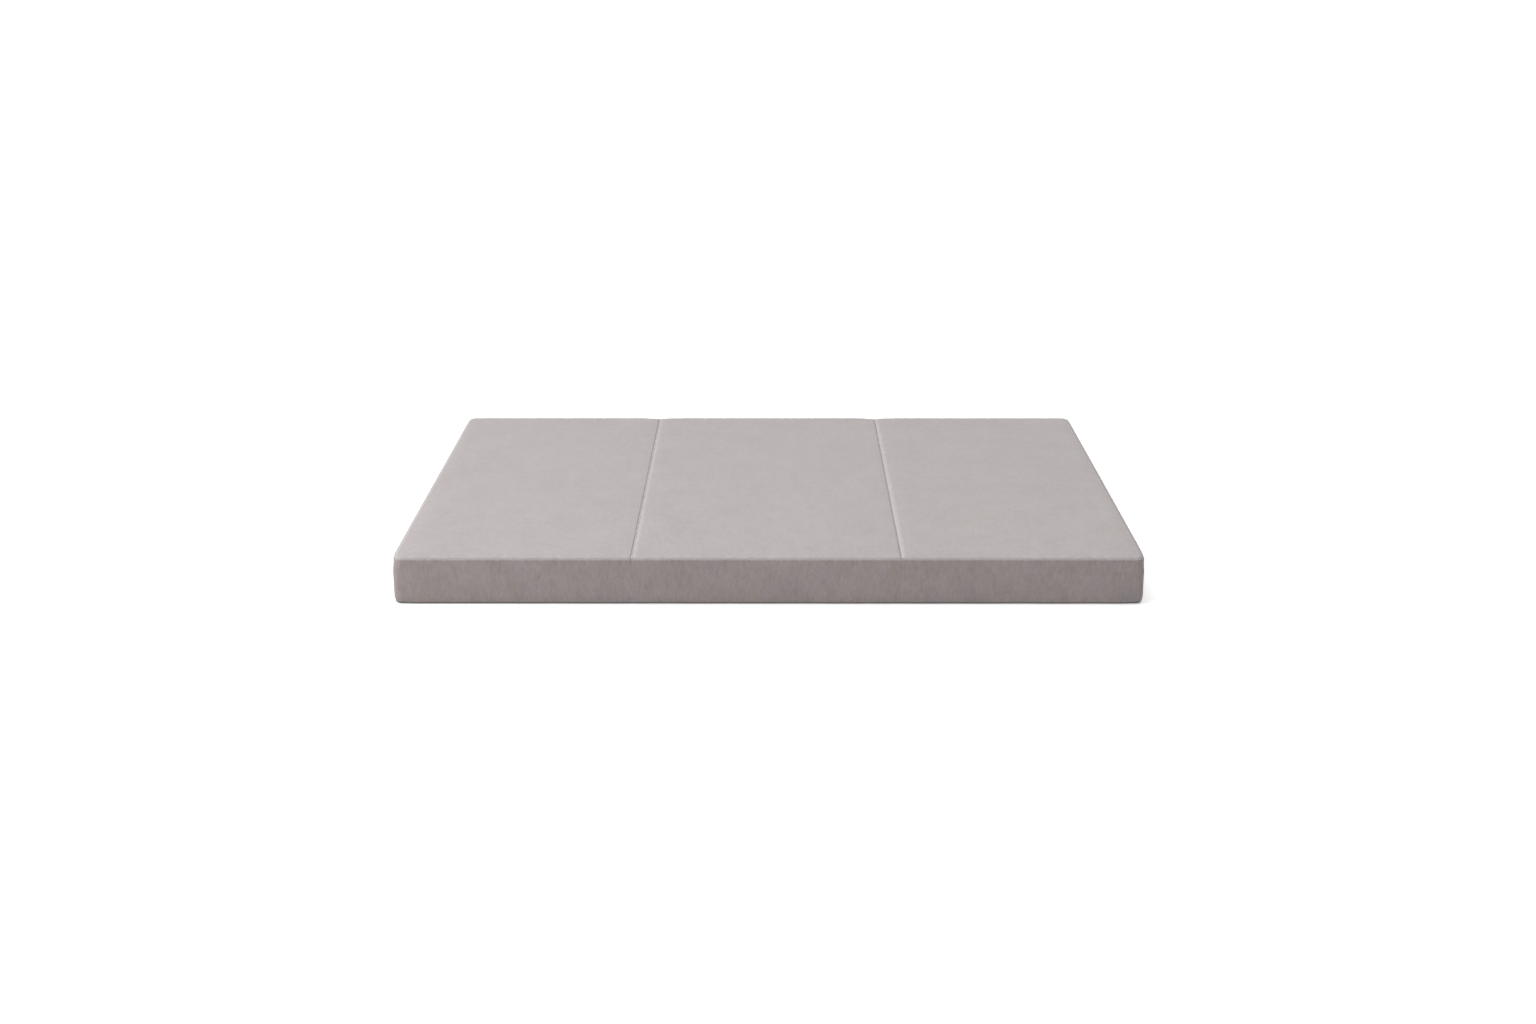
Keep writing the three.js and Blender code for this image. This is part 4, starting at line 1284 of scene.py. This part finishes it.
# Zips: steps across a tape with the height of its cord at each, and the outline and layers of a tooth
TAPE_STEPS = np.array([0, 0.06, 0.14, 0.22, 0.5, 0.78, 1])
TAPE_CORD = np.array([0.1, 0.6, 0.6, 0.15, 0, 0, 0]) * MM
TOOTH_OUTLINE = np.array([(-0.5, 0.06), (-0.36, -0.06), (0.36, -0.06), (0.5, 0.06), (0.5, 0.34), (0.3, 0.5),
                          (0.3, 1), (-0.3, 1), (-0.3, 0.5), (-0.5, 0.34)])
TOOTH_LAYERS = ((0.86, 0.0), (1.0, 0.16), (1.0, 0.84), (0.86, 1.0))
ZIP_TAPE_WAVE = 22 * MM
TOOTH_PITCH = 2.6 * MM
TOOTH_WIDTH_SHARE = 0.56
METAL_EDGE = 0.16 * MM


def make_zip_tape(panel, piece):
    low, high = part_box(f"{panel.name}_zip_{piece}")
    x = np.linspace(low.x, high.x, math.ceil((high.x - low.x) / CLOTH_STEP) + 1)
    z = low.z + (TAPE_STEPS if piece == "upper_tape" else 1 - TAPE_STEPS) * (high.z - low.z)
    x, z = np.meshgrid(x, z, indexing="ij")
    wave = TAPE_WAVE * waves(x[:, :1], ZIP_TAPE_WAVE, panel.seed + 15)[:, None]
    outer = np.stack([x, high.y + TAPE_CORD[None, :] + wave * (TAPE_CORD[None, :] == 0), z], -1)
    inner = np.stack([x, np.full(x.shape, low.y), z], -1)
    tape = sheet_solid(f"{panel.name}_zip_{piece}_weave", outer, inner)
    dress(tape, "zip_tape", panel.body, f"{panel.name}_zip_{piece}")


def tooth_shape(width, height, depth):
    """A moulded tooth with chamfered edges: a broad head past the middle of the chain and a narrow foot."""
    flat = TOOTH_OUTLINE * (width, height)
    centre = flat.mean(axis=0)
    rings = [np.insert(centre + (flat - centre) * grow, 1, depth * (at - 1), axis=1)
             for grow, at in TOOTH_LAYERS]
    return np.concatenate(rings), tube_faces(len(rings), len(flat))


def make_zip_chain(panel):
    low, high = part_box(f"{panel.name}_zip_chain")
    shape = tooth_shape(TOOTH_PITCH * TOOTH_WIDTH_SHARE, (high.z - low.z) / 2, high.y - low.y)
    count = 2 * int((high.x - low.x) / TOOTH_PITCH - 1)
    middle = (low.z + high.z) / 2
    places = [(low.x + TOOTH_PITCH * (0.5 + i / 2), high.y, middle) for i in range(count)]
    axes = [((1, 0, 0), (0, 1, 0), (0, 0, 1.0 if i % 2 else -1.0)) for i in range(count)]
    chain = repeat_solid(f"{panel.name}_zip_teeth", *shape, np.array(places), np.array(axes))
    dress(chain, "zip_teeth", panel.body, f"{panel.name}_zip_chain")


def finish_zip_metal(panel):
    """The stops, slider and puller keep their plain shape, with softened edges and a nickel finish."""
    for piece in ("start_stop", "end_stop", "slider", "puller"):
        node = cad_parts[f"{panel.name}_zip_{piece}"]
        node.data.materials.clear()
        node.data.materials.append(materials["zip_metal"])
        bevel = node.modifiers.new("soft_edges", "BEVEL")
        bevel.width = METAL_EDGE
        bevel.segments = 2
        bevel.limit_method = "ANGLE"


# Floor, light and camera
FLOOR_HALF = 60
FLOOR_DROP = 0.5 * MM
SKY_AXIS = Vector((-0.14, 0.10, 1.0)).normalized()
SKY_SPREAD = 3.5
SKY_STRENGTH = 2.9
SKY_BASE = 0.08
KEY_PLACE = Vector((-5.1, -2.2, 3.1))
KEY_SIZE = 1.6
KEY_POWER = 190
SENSOR_WIDTH = 36
LENS_PIXELS = 2008
IMAGE_WIDTH = 1536
CAMERA_PLACE = (0.0027, -5.481, 1.7367)
CAMERA_PITCH = 90 - 17.33
CAMERA_TURN = 0.05


def make_floor():
    corners = [(x, y, -FLOOR_DROP) for x in (-FLOOR_HALF, FLOOR_HALF) for y in (-FLOOR_HALF, FLOOR_HALF)]
    floor = make_mesh("floor", corners, grid_quads(np.arange(4).reshape(2, 2)))
    paper = Finish("pale_floor", Roughness=0.9, Specular_IOR_Level=0.1, Emission_Strength=0.32)
    tone = paper.ramp(paper.noise(3.0, 2.0), 0.3, 0.7, 0.985, 1.0)
    paper.set("Base Color", paper.toned((0.80, 0.80, 0.80), tone))
    floor.data.materials.append(paper.material)


def make_light():
    """A bright soft sky, brightest overhead and to the left, and a key light from the upper left."""
    world = bpy.data.worlds.new("studio")
    bpy.context.scene.world = world
    world.use_nodes = True
    tree = world.node_tree
    towards = tree.nodes.new("ShaderNodeVectorMath")
    towards.operation = "DOT_PRODUCT"
    tree.links.new(tree.nodes.new("ShaderNodeTexCoord").outputs["Generated"], towards.inputs[0])
    towards.inputs[1].default_value = SKY_AXIS
    value = towards.outputs["Value"]
    for operation, number in (("MAXIMUM", 0.0), ("POWER", SKY_SPREAD), ("MULTIPLY", SKY_STRENGTH),
                              ("ADD", SKY_BASE)):
        step = tree.nodes.new("ShaderNodeMath")
        step.operation = operation
        tree.links.new(value, step.inputs[0])
        step.inputs[1].default_value = number
        value = step.outputs[0]
    tree.nodes["Background"].inputs["Color"].default_value = (1, 1, 1, 1)
    tree.links.new(value, tree.nodes["Background"].inputs["Strength"])

    lamp = bpy.data.lights.new("key", "AREA")
    lamp.shape = "DISK"
    lamp.size = KEY_SIZE
    lamp.energy = KEY_POWER
    key = bpy.data.objects.new("key", lamp)
    key.location = KEY_PLACE
    key.rotation_mode = "QUATERNION"
    key.rotation_quaternion = (-KEY_PLACE).to_track_quat("-Z", "Y")
    bpy.context.scene.collection.objects.link(key)
    bpy.context.scene.view_settings.view_transform = "Standard"


def make_camera():
    camera = bpy.data.cameras.new("camera")
    camera.sensor_width = SENSOR_WIDTH
    camera.lens = SENSOR_WIDTH * LENS_PIXELS / IMAGE_WIDTH
    view = bpy.data.objects.new("camera", camera)
    view.location = CAMERA_PLACE
    view.rotation_euler = Euler((math.radians(CAMERA_PITCH), 0, math.radians(CAMERA_TURN)))
    bpy.context.scene.collection.objects.link(view)
    bpy.context.scene.camera = view


make_camera()
make_light()
make_floor()
for panel in PANELS:
    make_panel_body(panel)
    make_zip_stitches(panel)
    make_zip_tape(panel, "upper_tape")
    make_zip_tape(panel, "lower_tape")
    make_zip_chain(panel)
    finish_zip_metal(panel)
    for side in panel.sides:
        run = RUNS[panel.name, side]
        make_border(run)
        make_piping(run)
        make_binding(run)
        make_binding_stitches(run)
    if panel.fold_low:
        make_fold_wall(panel, at_high=False)
    if panel.fold_high:
        make_fold_wall(panel, at_high=True)
make_top_fold_tape()
make_bottom_fold_tape()
